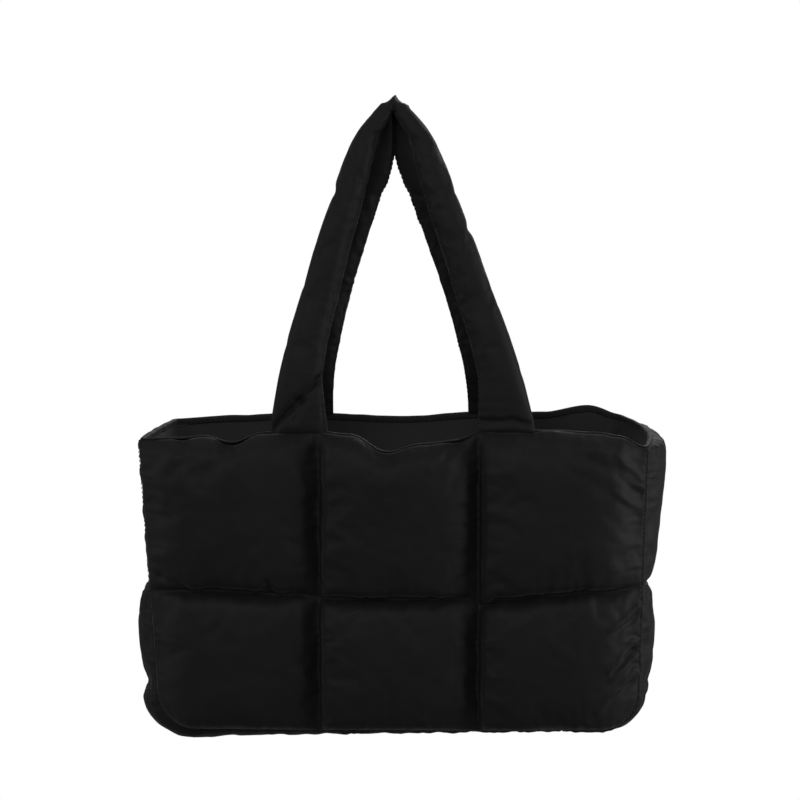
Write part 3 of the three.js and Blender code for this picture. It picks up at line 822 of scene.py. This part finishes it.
class TOTE_OT_stage(bpy.types.Operator):
    """Adds the pale floor, the soft side lights, the white surround and the camera."""

    bl_idname = "tote.stage"
    bl_label = "Studio stage"

    def execute(self, context):
        self.add_floor(context)
        self.add_surround(context)
        for name, place, size, watts in SOFTBOXES:
            lamp = bpy.data.lights.new(name, "AREA")
            lamp.shape = "RECTANGLE"
            lamp.size, lamp.size_y = size
            lamp.energy = watts
            box = bpy.data.objects.new(name, lamp)
            box.matrix_world = facing(place, LIT_POINT)
            context.scene.collection.objects.link(box)
        self.add_camera(context)
        context.scene.view_settings.view_transform = "Standard"
        return {"FINISHED"}

    def add_floor(self, context):
        """A pale floor that the camera sees white and that throws little light up at the bag."""
        bm = bmesh.new()
        bmesh.ops.create_grid(bm, x_segments=2, y_segments=2, size=FLOOR_REACH)
        for vertex in bm.verts:
            vertex.co.z = FLOOR_HEIGHT
        mesh = bpy.data.meshes.new("floor")
        bm.to_mesh(mesh)
        bm.free()
        floor = bpy.data.objects.new("floor", mesh)
        context.scene.collection.objects.link(floor)
        material, tree = new_material("studio_floor")
        rough = add_node(tree, "ShaderNodeTexNoise", {}, {"Scale": FLOOR_GRAIN})
        grain = add_node(tree, "ShaderNodeBump", {},
                         {"Height": rough.outputs["Fac"], "Strength": 0.05})
        pale = (*[c * FLOOR_BOUNCE for c in context.scene.tote_colours.floor], 1)
        matt = add_node(tree, "ShaderNodeBsdfDiffuse", {},
                        {"Color": pale, "Normal": grain.outputs["Normal"]})
        glow = add_node(tree, "ShaderNodeEmission", {}, {"Color": (1, 1, 1, 1), "Strength": 1.0})
        seen = add_node(tree, "ShaderNodeLightPath").outputs["Is Camera Ray"]
        both = add_node(tree, "ShaderNodeMixShader", {},
                        {0: seen, 1: matt.outputs["BSDF"], 2: glow.outputs["Emission"]})
        add_node(tree, "ShaderNodeOutputMaterial", {}, {"Surface": both.outputs["Shader"]})
        mesh.materials.append(material)

    def add_surround(self, context):
        """A surround that the camera sees white and that lights the bag faintly from all sides."""
        world = bpy.data.worlds.new("white_surround")
        context.scene.world = world
        world.use_nodes = True
        tree = world.node_tree
        tree.nodes.clear()
        seen = add_node(tree, "ShaderNodeLightPath").outputs["Is Camera Ray"]
        strength = add_node(tree, "ShaderNodeMapRange", {},
                            {"Value": seen, "To Min": SURROUND_LIGHT, "To Max": 1.0})
        sky = add_node(tree, "ShaderNodeBackground", {},
                       {"Color": (1, 1, 1, 1), "Strength": strength.outputs["Result"]})
        add_node(tree, "ShaderNodeOutputWorld", {}, {"Surface": sky.outputs["Background"]})

    def add_camera(self, context):
        """The camera in front of the bag, with the bag across most of its picture."""
        lens = bpy.data.cameras.new("camera")
        lens.sensor_width = 36
        lens.lens = lens.sensor_width * CAMERA_DISTANCE / PICTURE_WIDTH
        lens.clip_end = 40
        camera = bpy.data.objects.new("camera", lens)
        context.scene.collection.objects.link(camera)
        back = Vector((math.sin(CAMERA_TURN) * math.cos(CAMERA_RISE),
                       -math.cos(CAMERA_TURN) * math.cos(CAMERA_RISE), math.sin(CAMERA_RISE)))
        camera.matrix_world = facing(
            Vector(CAMERA_TARGET) + CAMERA_DISTANCE * back, CAMERA_TARGET
        )
        context.scene.camera = camera


# The pieces


class TOTE_OT_panels(bpy.types.Operator):
    """Builds the front and the back, each six pillows of wadding between quilting lines."""

    bl_idname = "tote.panels"
    bl_label = "Quilted panels"

    def execute(self, context):
        for back in (False, True):
            self.build(context.scene.tote_sizes, back)
        return {"FINISHED"}

    def build(self, s, back):
        top = cloth_top(s)
        across = 3 * round(s.body_width / 3 / SPACING)
        low_rows = round(s.lower_row / SPACING)
        rows = low_rows + round((top - s.lower_row) / SPACING)
        outward = 1 if back else -1
        turned = -1 if back else 1  # the sheet's faces look out at the back too

        def heights(v):
            """Heights above the base seam, with one row of points on the quilting line."""
            row = (v + 1) / 2 * rows
            return np.where(row <= low_rows, row / low_rows * s.lower_row,
                            mix(s.lower_row, top, (row - low_rows) / (rows - low_rows)))

        def cell(u, v):
            """Where a point lies across the panel, how high, and where in its own pillow."""
            share, height = turned * u, heights(v)
            column = np.clip(np.floor((share + 1) * 1.5), 0, 2)
            a = 2 * ((share + 1) * 1.5 - column) - 1
            b = np.where(height <= s.lower_row, 2 * height / s.lower_row - 1,
                         2 * (height - s.lower_row) / (top - s.lower_row) - 1)
            return share, height, a, b

        def base(u, v):
            """The flat skin, half a seam's thickness outside its seams."""
            share, height = cell(u, v)[:2]
            points = seam_points(s, share, height, back)
            points[:, 1] += outward * s.seam_thickness / 2
            # the outermost cloth rolls over the seam to meet the gussets and the base pad
            rolled_out, roll_reach = 1.05 * MM, 9 * MM
            beside, above = (1 - np.abs(share)) * s.body_width / 2, height
            side = np.where(share > 0, top - height, top + s.body_width + height)
            below = top + (1 - share) * s.body_width / 2
            along = np.where(beside < above, side, below)
            roll = strip_points(s, along, float(back))[1]
            near = np.clip(1 - np.minimum(beside, above) / roll_reach, 0, 1)
            return points + roll * (rolled_out * near)[:, None]

        def rise(share, height, a, b):
            """How far a pillow stands out, rolling steeply or gently down to each of its seams."""
            lower = height <= s.lower_row
            wide, tall = s.body_width / 6, np.where(lower, s.lower_row, top - s.lower_row) / 2
            reach = FILLS_OUT
            left = np.where(share < -1 / 3, reach["left corner"], reach["right of quilting"])
            inner = np.where(lower, reach["left of lower quilting"], reach["left of quilting"])
            right = np.where(share > 1 / 3, reach["right corner"], inner)
            low = np.where(lower, reach["base seam"], reach["above quilting"])
            high = np.where(lower, reach["below quilting"], reach["hem"])
            across = climb((1 + a) * wide, left) * climb((1 - a) * wide, right)
            up = climb((1 + b) * tall, low) * climb((1 - b) * tall, high)
            return s.panel_crown * fill_of(a, b, 0.1) * across * up

        def start(u, v):
            """The skin before its simulation, partly filled and uneven."""
            a, b = cell(u, v)[2:]
            points = base(u, v)
            crumple = ripple(points, 18 * MM, 3 + back) + 0.6 * ripple(points, 9 * MM, 5 + back)
            fill = fill_of(a, b, DOME)
            points[:, 1] += outward * fill * (START_SHARE * s.panel_crown + CRUMPLE * crumple)
            return points

        name = "back_quilting" if back else "front_quilting"
        piece = grid_piece(name, across, rows, start, (s.body_width, top))
        place = read_place(piece.data)
        u, v = place[:, 0], place[:, 1]
        share, height, a, b = cell(u, v)
        blow_up(piece, at_edge(a, b), slack=0.035)
        out = np.array([[0, outward, 0]]) * np.ones((len(u), 1))
        dress(piece, (across, rows), base(u, v), out,
              rise(share, height, a, b), fill_of(a, b, DOME), keep=0.6)
        subdivide(piece)

        place = read_place(piece.data)
        share, height, a, b = cell(place[:, 0], place[:, 1])
        beside = (1 - np.abs(a)) * s.body_width / 6
        rows_high = np.where(height <= s.lower_row, s.lower_row, top - s.lower_row)
        above = (1 - np.abs(b)) * rows_high / 2
        folds = pucker(beside, height, 1 + back) + pucker(above, share * s.body_width / 2, 3 + back)
        crease(piece, folds * PANEL_PUCKER, () if back else PANEL_FOLDS)

        def inwards(u, v):
            sideways = -turned * np.sign(u) * at_edge(u)
            upwards = -np.sign(v) * at_edge(v)
            wall = s.seam_thickness
            return (sideways * wall, -outward * wall, upwards * wall)

        close_pad(piece, inwards)
        node = "back_panel" if back else "front_panel"
        finish_piece(piece, material_named("downproof_nylon"), "shell", node)


def foot_rise(s, side, a, distance):
    """How far the seam between a gusset and the base pad stands out, fading out beside it."""
    share_of_crown, reach = 0.75, 12 * MM
    share = climb((1 - np.abs(a)) * s.body_depth / 2, STRIP_FILLS_OUT) * fill_of(a, 0 * a, 0.3)
    full = np.where(side > 0, FULLNESS[1]["lower"], FULLNESS[-1]["lower"])
    return share_of_crown * s.gusset_crown * full * share * np.exp(-((distance / reach) ** 2))


class TOTE_OT_gussets(bpy.types.Operator):
    """Builds the two side gussets, each of two pillows parted by the quilting line."""

    bl_idname = "tote.gussets"
    bl_label = "Side gussets"

    def execute(self, context):
        for side, fullness in FULLNESS.items():
            self.build(context.scene.tote_sizes, side, fullness)
        return {"FINISHED"}

    def build(self, s, side, fullness):
        top, foot = cloth_top(s), s.corner_radius
        low_rows = round((s.lower_row - foot) / SPACING)
        rows = low_rows + round((top - s.lower_row) / SPACING)
        across = round(s.body_depth / SPACING)

        def cell(u, v):
            """Where a point lies from front to back, how high, and how high in its own pillow."""
            row = (v + 1) / 2 * rows
            height = np.where(row <= low_rows, mix(foot, s.lower_row, row / low_rows),
                              mix(s.lower_row, top, (row - low_rows) / (rows - low_rows)))
            b = np.where(height <= s.lower_row,
                         2 * (height - foot) / (s.lower_row - foot) - 1,
                         2 * (height - s.lower_row) / (top - s.lower_row) - 1)
            return side * u, height, b

        def base(u, v):
            """The flat skin and its outward directions."""
            a, height = cell(u, v)[:2]
            along = top - height if side > 0 else top + s.body_width + height
            return strip_skin(s, along, a)

        def crown(u, v):
            """The crown of a point's pillow, and how full the pillow is there."""
            a, height, b = cell(u, v)
            full = np.where(height <= s.lower_row, fullness["lower"], fullness["upper"])
            return full * s.gusset_crown, fill_of(a, b, DOME)

        def start(u, v):
            """The skin before its simulation, partly filled and uneven."""
            points, outward = base(u, v)
            full, fill = crown(u, v)
            crumple = ripple(points, 16 * MM, 11 + side)
            return points + outward * (fill * (START_SHARE * full + CRUMPLE * crumple))[:, None]

        name = "right_gusset_quilting" if side > 0 else "left_gusset_quilting"
        piece = grid_piece(name, across, rows, start, (s.body_depth, top - foot))
        place = read_place(piece.data)
        u, v = place[:, 0], place[:, 1]
        a, height, b = cell(u, v)
        blow_up(piece, at_edge(a, b), slack=0.035)
        flat, outward = base(u, v)
        rise = crown(u, v)[0] * fill_of(a, 0 * b, 0.3) * fill_of(0 * a, b, 0.2)
        rise *= climb((1 - np.abs(a)) * s.body_depth / 2, STRIP_FILLS_OUT)
        rise = np.maximum(rise, foot_rise(s, side, a, height - foot))
        dress(piece, (across, rows), flat, outward, rise,
              fill_of(a, b, DOME), keep=min(1, 2 * fullness["upper"]))
        subdivide(piece)

        place = read_place(piece.data)
        a, height, b = cell(place[:, 0], place[:, 1])
        beside = (1 - np.abs(a)) * s.body_depth / 2
        rows_high = np.where(height <= s.lower_row, s.lower_row - foot, top - s.lower_row)
        above = (1 - np.abs(b)) * rows_high / 2
        folds = pucker(beside, height, 8 + side) + pucker(above, a * s.body_depth / 2, 5 + side)
        crease(piece, folds * STRIP_PUCKER)

        def inwards(u, v):
            wall, end_gap = s.seam_thickness, 0.3 * MM
            sideways = -side * np.sign(u) * at_edge(u)
            return (-side * wall, sideways * wall, -np.sign(v) * at_edge(v) * end_gap)

        close_pad(piece, inwards)
        node = "right_gusset" if side > 0 else "left_gusset"
        finish_piece(piece, material_named("downproof_nylon"), "shell", node)


class TOTE_OT_base(bpy.types.Operator):
    """Builds the base pad, one long pillow that turns up round both lower corners."""

    bl_idname = "tote.base"
    bl_label = "Base pad"

    def execute(self, context):
        s = context.scene.tote_sizes
        first = cloth_top(s) - s.corner_radius
        last = cloth_top(s) + s.body_width + s.corner_radius
        cells = (round((last - first) / SPACING), round(s.body_depth / SPACING))
        turn_up = 6  # how late along the pad its middle turns into its ends
        start_share, crumple_height = 0.7, 1.0 * MM
        boxiness = 1.35

        def cell(u, v):
            """Where a point lies along the strip, from front to back, and along the pad."""
            along = mix(last, first, (u + 1) / 2)
            return along, -v, -u

        def base(u, v):
            """The flat skin and its outward directions."""
            along, a = cell(u, v)[:2]
            return strip_skin(s, along, a)

        def crown(u, v):
            """The pad's crown at a point, and how full the pad is there."""
            a, b = cell(u, v)[1:]
            towards = np.abs(b) ** turn_up
            corner = np.where(b < 0, s.right_corner, s.left_corner)
            under = mix(s.right_base, s.left_base, (b + 1) / 2)
            return mix(under, corner, towards), fill_of(a, towards, DOME)

        def start(u, v):
            """The skin before its simulation, partly filled and uneven."""
            points, outward = base(u, v)
            full, fill = crown(u, v)
            crumple = ripple(points, 16 * MM, 21)
            uneven = start_share * full + crumple_height * crumple
            return points + outward * (fill * uneven)[:, None]

        piece = grid_piece("base_quilting", *cells, start, (last - first, s.body_depth))
        place = read_place(piece.data)
        u, v = place[:, 0], place[:, 1]
        blow_up(piece, at_edge(u, v), slack=0.02, pressure=2.5)
        flat, outward = base(u, v)
        along, a, b = cell(u, v)
        full = crown(u, v)[0]
        fill = np.minimum(boxiness * fill_of(a, np.abs(b) ** turn_up, 0.4), 1)
        ends = (1 - np.abs(b)) * (last - first) / 2
        rise = np.maximum(full * fill, foot_rise(s, -b, a, ends))
        dress(piece, cells, flat, outward, rise, crown(u, v)[1], keep=0.7)
        subdivide(piece)

        place = read_place(piece.data)
        along, a, b = cell(place[:, 0], place[:, 1])
        beside = (1 - np.abs(a)) * s.body_depth / 2
        ends = (1 - np.abs(b)) * (last - first) / 2
        folds = pucker(beside, along, 31) + pucker(ends, a * s.body_depth / 2, 32)
        crease(piece, folds * STRIP_PUCKER)

        def inwards(u, v):
            step = -base(np.array([u]), np.array([v]))[1][0] * s.seam_thickness
            step[1] += np.sign(v) * at_edge(v) * s.seam_thickness
            return step

        close_pad(piece, inwards)
        finish_piece(piece, material_named("downproof_nylon"), "shell", "base_pad")
        return {"FINISHED"}


MERGED = 0.001 * MM  # points nearer than this are one


def close_tube(piece):
    """Sews a tube's long edges together and closes its open ends."""
    bm = bmesh.new()
    bm.from_mesh(piece.data)
    bmesh.ops.remove_doubles(bm, verts=bm.verts, dist=MERGED)
    ends = [edge for edge in bm.edges if edge.is_boundary]
    if ends:
        caps = bmesh.ops.holes_fill(bm, edges=ends, sides=0)["faces"]
        bmesh.ops.triangulate(bm, faces=caps)
    bmesh.ops.recalc_face_normals(bm, faces=bm.faces)
    bm.to_mesh(piece.data)
    bm.free()


class TOTE_OT_hem(bpy.types.Operator):
    """Builds the hem, a narrow folded band of shell nylon round the mouth."""

    bl_idname = "tote.hem"
    bl_label = "Hem"

    def execute(self, context):
        s = context.scene.tote_sizes
        # the folded edge's section in millimetres out from the seam and up from the padding, from
        # its outer lip over the top and down inside
        section = np.array([
            (1.25, 4.6), (1.35, 5.3), (1.0, 5.9), (0.1, 6.15), (-1.2, 6.1), (-2.3, 5.8),
            (-2.9, 5.0), (-3.0, 3.2), (-2.95, 1.4), (-2.8, 0.2), (-1.9, 0.1), (-1.75, 1.4),
            (-1.65, 3.0), (-1.6, 4.5), (1.25, 4.6),
        ]) * MM
        count, sides = 420, len(section) - 1
        around = mouth_length(s)
        wave_height, uneven = 0.45 * MM, 0.18  # of the top edge, and of the band's thickness
        loop, outward = mouth_loop(s, count, pad_height(s), inset=0, rounding=3)
        go = np.linspace(0, 1, count, endpoint=False) * around
        lift = ripple(np.stack([go, 0 * go, 0 * go], 1), 13 * MM, 41)
        swell = ripple(np.stack([go, 0 * go, 0 * go + 1], 1), 7 * MM, 42)

        def place(u, v):
            turn = np.round((u + 1) / 2 * count).astype(int) % count
            corner = np.round((v + 1) / 2 * sides).astype(int)
            out, up = section[corner, 0], section[corner, 1]
            puff = 1 + uneven * swell[turn]
            points = loop[turn] + outward[turn] * (out * puff)[:, None]
            points[:, 2] += up + up / s.hem_height * wave_height * lift[turn]
            return points

        piece = grid_piece("hem_band", count, sides, place, (around, 2 * s.hem_height))
        close_tube(piece)
        subdivide(piece)
        finish_piece(piece, material_named("downproof_nylon"), "shell", "hem")
        return {"FINISHED"}


class TOTE_OT_lining(bpy.types.Operator):
    """Builds the lining, a taffeta bag that hangs from the hem just inside the padding."""

    bl_idname = "tote.lining"
    bl_label = "Lining"

    def execute(self, context):
        s = context.scene.tote_sizes
        count, rows = 170, 52
        floor_rows = 12
        around = mouth_length(s)
        top = pad_height(s) + 1 * MM
        foot = 11 * MM  # the floor's height over the base seam, on top of the base pad
        # its inset at the hem, how much more it is lower down, and by what share of the height
        at_hem, at_foot, tuck_share = 2 * MM, 8.5 * MM, 0.12
        hang_depth, at_floor = 2.4 * MM, 0.08
        rings = []
        for row in range(rows + 1 - floor_rows):
            share = row / (rows - floor_rows)
            height = mix(foot, top, share)
            inset = at_hem + at_foot * min((1 - share) / tuck_share, 1)
            loop, outward = mouth_loop(s, count, min(height, pad_height(s)), inset, rounding=2)
            loop[:, 2] += height - min(height, pad_height(s))
            # hanging folds: noise drawn out upwards, deepest half way down
            sway = ripple(loop * np.array([1, 1, 0.25]), 22 * MM, 51)
            sway += 0.5 * ripple(loop * np.array([1, 1, 0.4]), 9 * MM, 52)
            hang = hang_depth * math.sin(math.pi * min(share + at_floor, 1)) ** 0.5
            rings.append(loop - outward * (np.clip(sway + 0.5, 0, 2) * hang)[:, None])
        lowest = rings[0]
        centre = np.array([s.body_shift, 0, lowest[:, 2].mean()])
        floor = [mix(centre, lowest, share / floor_rows) for share in range(floor_rows)]
        rings = np.array(floor + rings)

        def place(u, v):
            turn = np.round((u + 1) / 2 * count).astype(int) % count
            return rings[np.round((v + 1) / 2 * rows).astype(int), turn]

        piece = grid_piece("lining_cloth", count, rows, place, (around, top + s.body_depth / 2))
        bm = bmesh.new()
        bm.from_mesh(piece.data)
        bmesh.ops.remove_doubles(bm, verts=bm.verts, dist=MERGED)
        area = sum(face.calc_area() for face in bm.faces)
        bmesh.ops.recalc_face_normals(bm, faces=bm.faces)
        bm.to_mesh(piece.data)
        bm.free()
        thicken = piece.modifiers.new("thickness", "SOLIDIFY")
        thicken.thickness = 0.4 * MM
        thicken.offset = -1
        keep_modifier(piece, thicken)
        subdivide(piece)
        finish_piece(piece, material_named("lining_taffeta"), "lining", "lining")
        # cut once round the mouth by the depth from the mouth to the base seam plus the base
        return {"FINISHED"}


HANDLE_SEAM = 0.9  # where a handle's long seam lies round its tube, near the inner edge
LEG_SHARE = 0.93  # a leg's share of half the tube, and the rest is the fold over the hook


class TOTE_OT_handles(bpy.types.Operator):
    """Builds the two handles, padded tubes sewn shut along their inner edges."""

    bl_idname = "tote.handles"
    bl_label = "Handles"

    def execute(self, context):
        for back in (False, True):
            self.build(context.scene.tote_sizes, back)
        return {"FINISHED"}

    def build(self, s, back):
        leg = BACK_LEG if back else FRONT_LEG
        roots = s.back_roots if back else s.front_roots
        root_shift = s.back_shift if back else s.front_shift
        sides, steps = 40, 210
        off_hook, between_handles = 0.3 * MM, 0.35 * MM
        puffed_up, pinched = 1.4 * MM, 2.6 * MM  # the legs' tops, and the fold beside the hook
        root_thickness, thickening = 3.4 * MM, 420 * MM
        sunk_share, sunk_depth = 0.025, 3.5 * MM  # how the roots are sewn in behind the hem
        past_middle = -0.02  # how far a leg's inner edge may cross the middle, as its table has it
        root_curl = 1.6  # how soon the legs swing from their roots to the hook
        held_roots = 0.97  # past this, a point is too near the root to be blown up
        cloth_size = (100 * MM, 600 * MM)  # round the tube and along it

        def sections(v):
            """The sections at v: inner edge, outward direction, reach, thickness, place on a leg."""
            up = 1 - np.abs(v)
            side = np.where(v < 0, 1.0, -1.0)
            at = np.minimum(up / LEG_SHARE, 1)
            fan = np.maximum(up - LEG_SHARE, 0) / (1 - LEG_SHARE)
            angle = np.radians(mix(read_curve(leg, at, "turn"), 90, fan))
            outward = np.stack([side * np.cos(angle), 0 * angle, np.sin(angle)], axis=-1)
            edge = roots / 2 * np.maximum(read_curve(leg, at, "inner"), past_middle)
            shift = root_shift * (1 - at) ** root_curl
            inner = np.stack(
                [side * edge + shift, 0 * edge, mix(-s.handle_drop, 0, at)], axis=-1
            )
            inner += outward * (off_hook * at)[:, None]
            reach = mix(s.handle_width * read_curve(leg, at, "width"), s.fold_rise, fan)
            reach += at * puffed_up - pinched * np.sin(np.pi * fan)
            middle = inner + outward * reach[:, None] / 2
            root_y = hem_top(s, middle[:, 0], back)[:, 1]
            apex_y = (1 if back else -1) * (s.handle_thickness / 2 + between_handles)
            inner[:, 1] = mix(root_y, apex_y, at)
            thickness = s.handle_thickness * read_curve(leg, at, "thickness")
            thickness = np.minimum(thickness, root_thickness + at * thickening)
            return inner, outward, reach, thickness, at

        def place(u, v):
            inner, outward, reach, thickness, at = sections(v)
            # a rounded oval, boxier front to back than from side to side
            turn = np.pi * (u + 1)
            across = np.sign(np.cos(turn)) * np.abs(np.cos(turn)) ** 0.85
            thick = np.sign(np.sin(turn)) * np.abs(np.sin(turn)) ** 0.7
            points = inner + outward * (reach * (1 - across) / 2)[:, None]
            points[:, 1] += thick * thickness / 2
            sunk = np.clip(1 - at / sunk_share, 0, 1)
            hem = hem_top(s, points[:, 0], back)
            points[:, 2] = mix(points[:, 2], hem[:, 2] - sunk_depth, sunk)
            return points

        name = "back_handle_tube" if back else "front_handle_tube"
        piece = grid_piece(name, sides, steps, place, cloth_size)
        close_tube(piece)
        spots = read_place(piece.data)
        flat = read_points(piece.data)
        held = at_edge(spots[:, 0]) | (np.abs(spots[:, 1]) > held_roots)
        most_crease = 1.3 * MM
        blow_up(piece, held, slack=0.05, pressure=3.0)
        moved = read_points(piece.data) - flat
        creases = creases_of(moved, spots, (sides, steps), wraps=True)
        size = np.linalg.norm(creases, axis=1, keepdims=True)
        creases *= most_crease * np.tanh(size / most_crease) / np.maximum(size, 1e-9)
        # the creases fade out towards the roots
        creases *= np.clip(4 * (1 - np.abs(spots[:, 1:2])) - 0.3, 0, 1)
        write_points(piece.data, flat + creases)
        subdivide(piece)

        half_length, half_girth = 290 * MM, 45 * MM
        ridge_height, ridge_reach = 0.7 * MM, 1.2 * MM  # of the sewn edges under the long seam
        spots = read_place(piece.data)
        along = (spots[:, 1] + 1) * half_length
        beside = np.abs(spots[:, 0] - HANDLE_SEAM) * half_girth
        folds = pucker(beside, along, 61 + back) * HANDLE_PUCKER
        folds += ridge_height * np.exp(-((beside / ridge_reach) ** 2))
        crease(piece, folds, () if back else HANDLE_FOLDS)
        node = "back_handle" if back else "front_handle"
        finish_piece(piece, material_named("downproof_nylon"), "shell", node)


THREAD_THICKNESS = 0.6 * MM
STITCH_SHARE = 0.76  # a stitch's share of the stitch pitch


def handle_seam(piece, pitch):
    """Evenly spaced points along a handle's long seam, just proud of its cloth."""
    proud = 0.15 * MM
    spots = read_place(piece.data)
    on_seam = np.flatnonzero(np.isclose(spots[:, 0], HANDLE_SEAM))
    on_seam = on_seam[np.argsort(spots[on_seam, 1])]
    path = read_points(piece.data)[on_seam]
    path += proud * read_normals(piece.data)[on_seam]
    run = np.concatenate([[0], np.cumsum(np.linalg.norm(np.diff(path, axis=0), axis=1))])
    stops = np.arange(0, run[-1], pitch)
    return np.stack([np.interp(stops, run, path[:, axis]) for axis in range(3)], axis=-1)


class TOTE_OT_stitches(bpy.types.Operator):
    """Sews the seams: a row of thread stitches along each one."""

    bl_idname = "tote.stitches"
    bl_label = "Stitches"

    def execute(self, context):
        s = context.scene.tote_sizes
        top, low, wide = cloth_top(s), s.lower_row, s.body_width
        deep = s.seam_thickness / 2
        out = deep + 0.35 * MM  # at the corner seams, which stand proud
        count = 240  # of stitches on the hem's inner band
        hem_inside, hem_up = 3.1 * MM, 1.8 * MM  # where they lie
        rows = []
        for back in (False, True):
            ahead = np.array([0, 1.0 if back else -1.0, 0]) * deep
            for share in (-1 / 3, 1 / 3):
                height = np.arange(3 * MM, top - 4 * MM, s.thread_pitch)  # clear of both ends
                rows.append(seam_points(s, share, height, back) + ahead)
            share = np.linspace(-1, 1, round(wide / s.thread_pitch))
            rows.append(seam_points(s, share, low, back) + ahead)
        for depth in (0.0, 1.0):
            along = np.arange(0, 2 * top + wide, s.thread_pitch)
            points, outward = strip_points(s, along, depth)
            points += outward * out
            points[:, 1] += (1 if depth else -1) * out
            rows.append(points)
        for along in (top - low, top + wide + low):
            depth = np.linspace(0, 1, round(s.body_depth / s.thread_pitch))
            points, outward = strip_points(s, np.full(depth.shape, along), depth)
            rows.append(points + outward * deep)
        for name in ("front_handle_tube", "back_handle_tube"):
            rows.append(handle_seam(bpy.data.objects[name], s.thread_pitch))
        loop, outward = mouth_loop(s, count, pad_height(s), inset=0, rounding=2)
        loop = loop - outward * hem_inside
        loop[:, 2] += hem_up
        rows.append(loop)

        thick = THREAD_THICKNESS
        bm = bmesh.new()
        for row in rows:
            middle = (row[1:] + row[:-1]) / 2
            for here, step in zip(middle, row[1:] - row[:-1]):
                turn = Vector(step).to_track_quat("X", "Z").to_matrix().to_4x4()
                size = (STITCH_SHARE * float(np.linalg.norm(step)), thick, thick, 1)
                place = Matrix.Translation(Vector(here)) @ turn @ Matrix.Diagonal(size)
                bmesh.ops.create_icosphere(bm, subdivisions=1, radius=0.5, matrix=place)
        mesh = bpy.data.meshes.new("seam_stitches")
        bm.to_mesh(mesh)
        bm.free()
        piece = bpy.data.objects.new("seam_stitches", mesh)
        context.scene.collection.objects.link(piece)
        finish_piece(piece, material_named("sewing_thread"), "shell")
        return {"FINISHED"}


PIECES = (
    TOTE_OT_stage, TOTE_OT_panels, TOTE_OT_gussets, TOTE_OT_base, TOTE_OT_hem, TOTE_OT_lining,
    TOTE_OT_handles, TOTE_OT_stitches,
)


class TOTE_PT_sidebar(bpy.types.Panel):
    """Lists the bag's sizes, its colours and the operators that make its pieces."""

    bl_idname = "TOTE_PT_sidebar"
    bl_label = "Puffer Tote"
    bl_space_type = "VIEW_3D"
    bl_region_type = "UI"
    bl_category = "Puffer Tote"

    def draw(self, context):
        for group in (context.scene.tote_colours, context.scene.tote_sizes):
            column = self.layout.column(align=True)
            for name in group.__annotations__:
                column.prop(group, name)
        column = self.layout.column()
        for piece in PIECES:
            column.operator(piece.bl_idname)


CLASSES = (ToteSizes, ToteColours, *PIECES, TOTE_PT_sidebar)


def register():
    for kind in CLASSES:
        bpy.utils.register_class(kind)
    bpy.types.Scene.tote_sizes = PointerProperty(type=ToteSizes)
    bpy.types.Scene.tote_colours = PointerProperty(type=ToteColours)


def unregister():
    del bpy.types.Scene.tote_colours
    del bpy.types.Scene.tote_sizes
    for kind in reversed(CLASSES):
        bpy.utils.unregister_class(kind)


def main():
    register()
    bpy.ops.tote.stage()
    bpy.ops.tote.panels()
    bpy.ops.tote.gussets()
    bpy.ops.tote.base()
    bpy.ops.tote.hem()
    bpy.ops.tote.lining()
    bpy.ops.tote.handles()
    bpy.ops.tote.stitches()


if __name__ == "__main__":
    main()
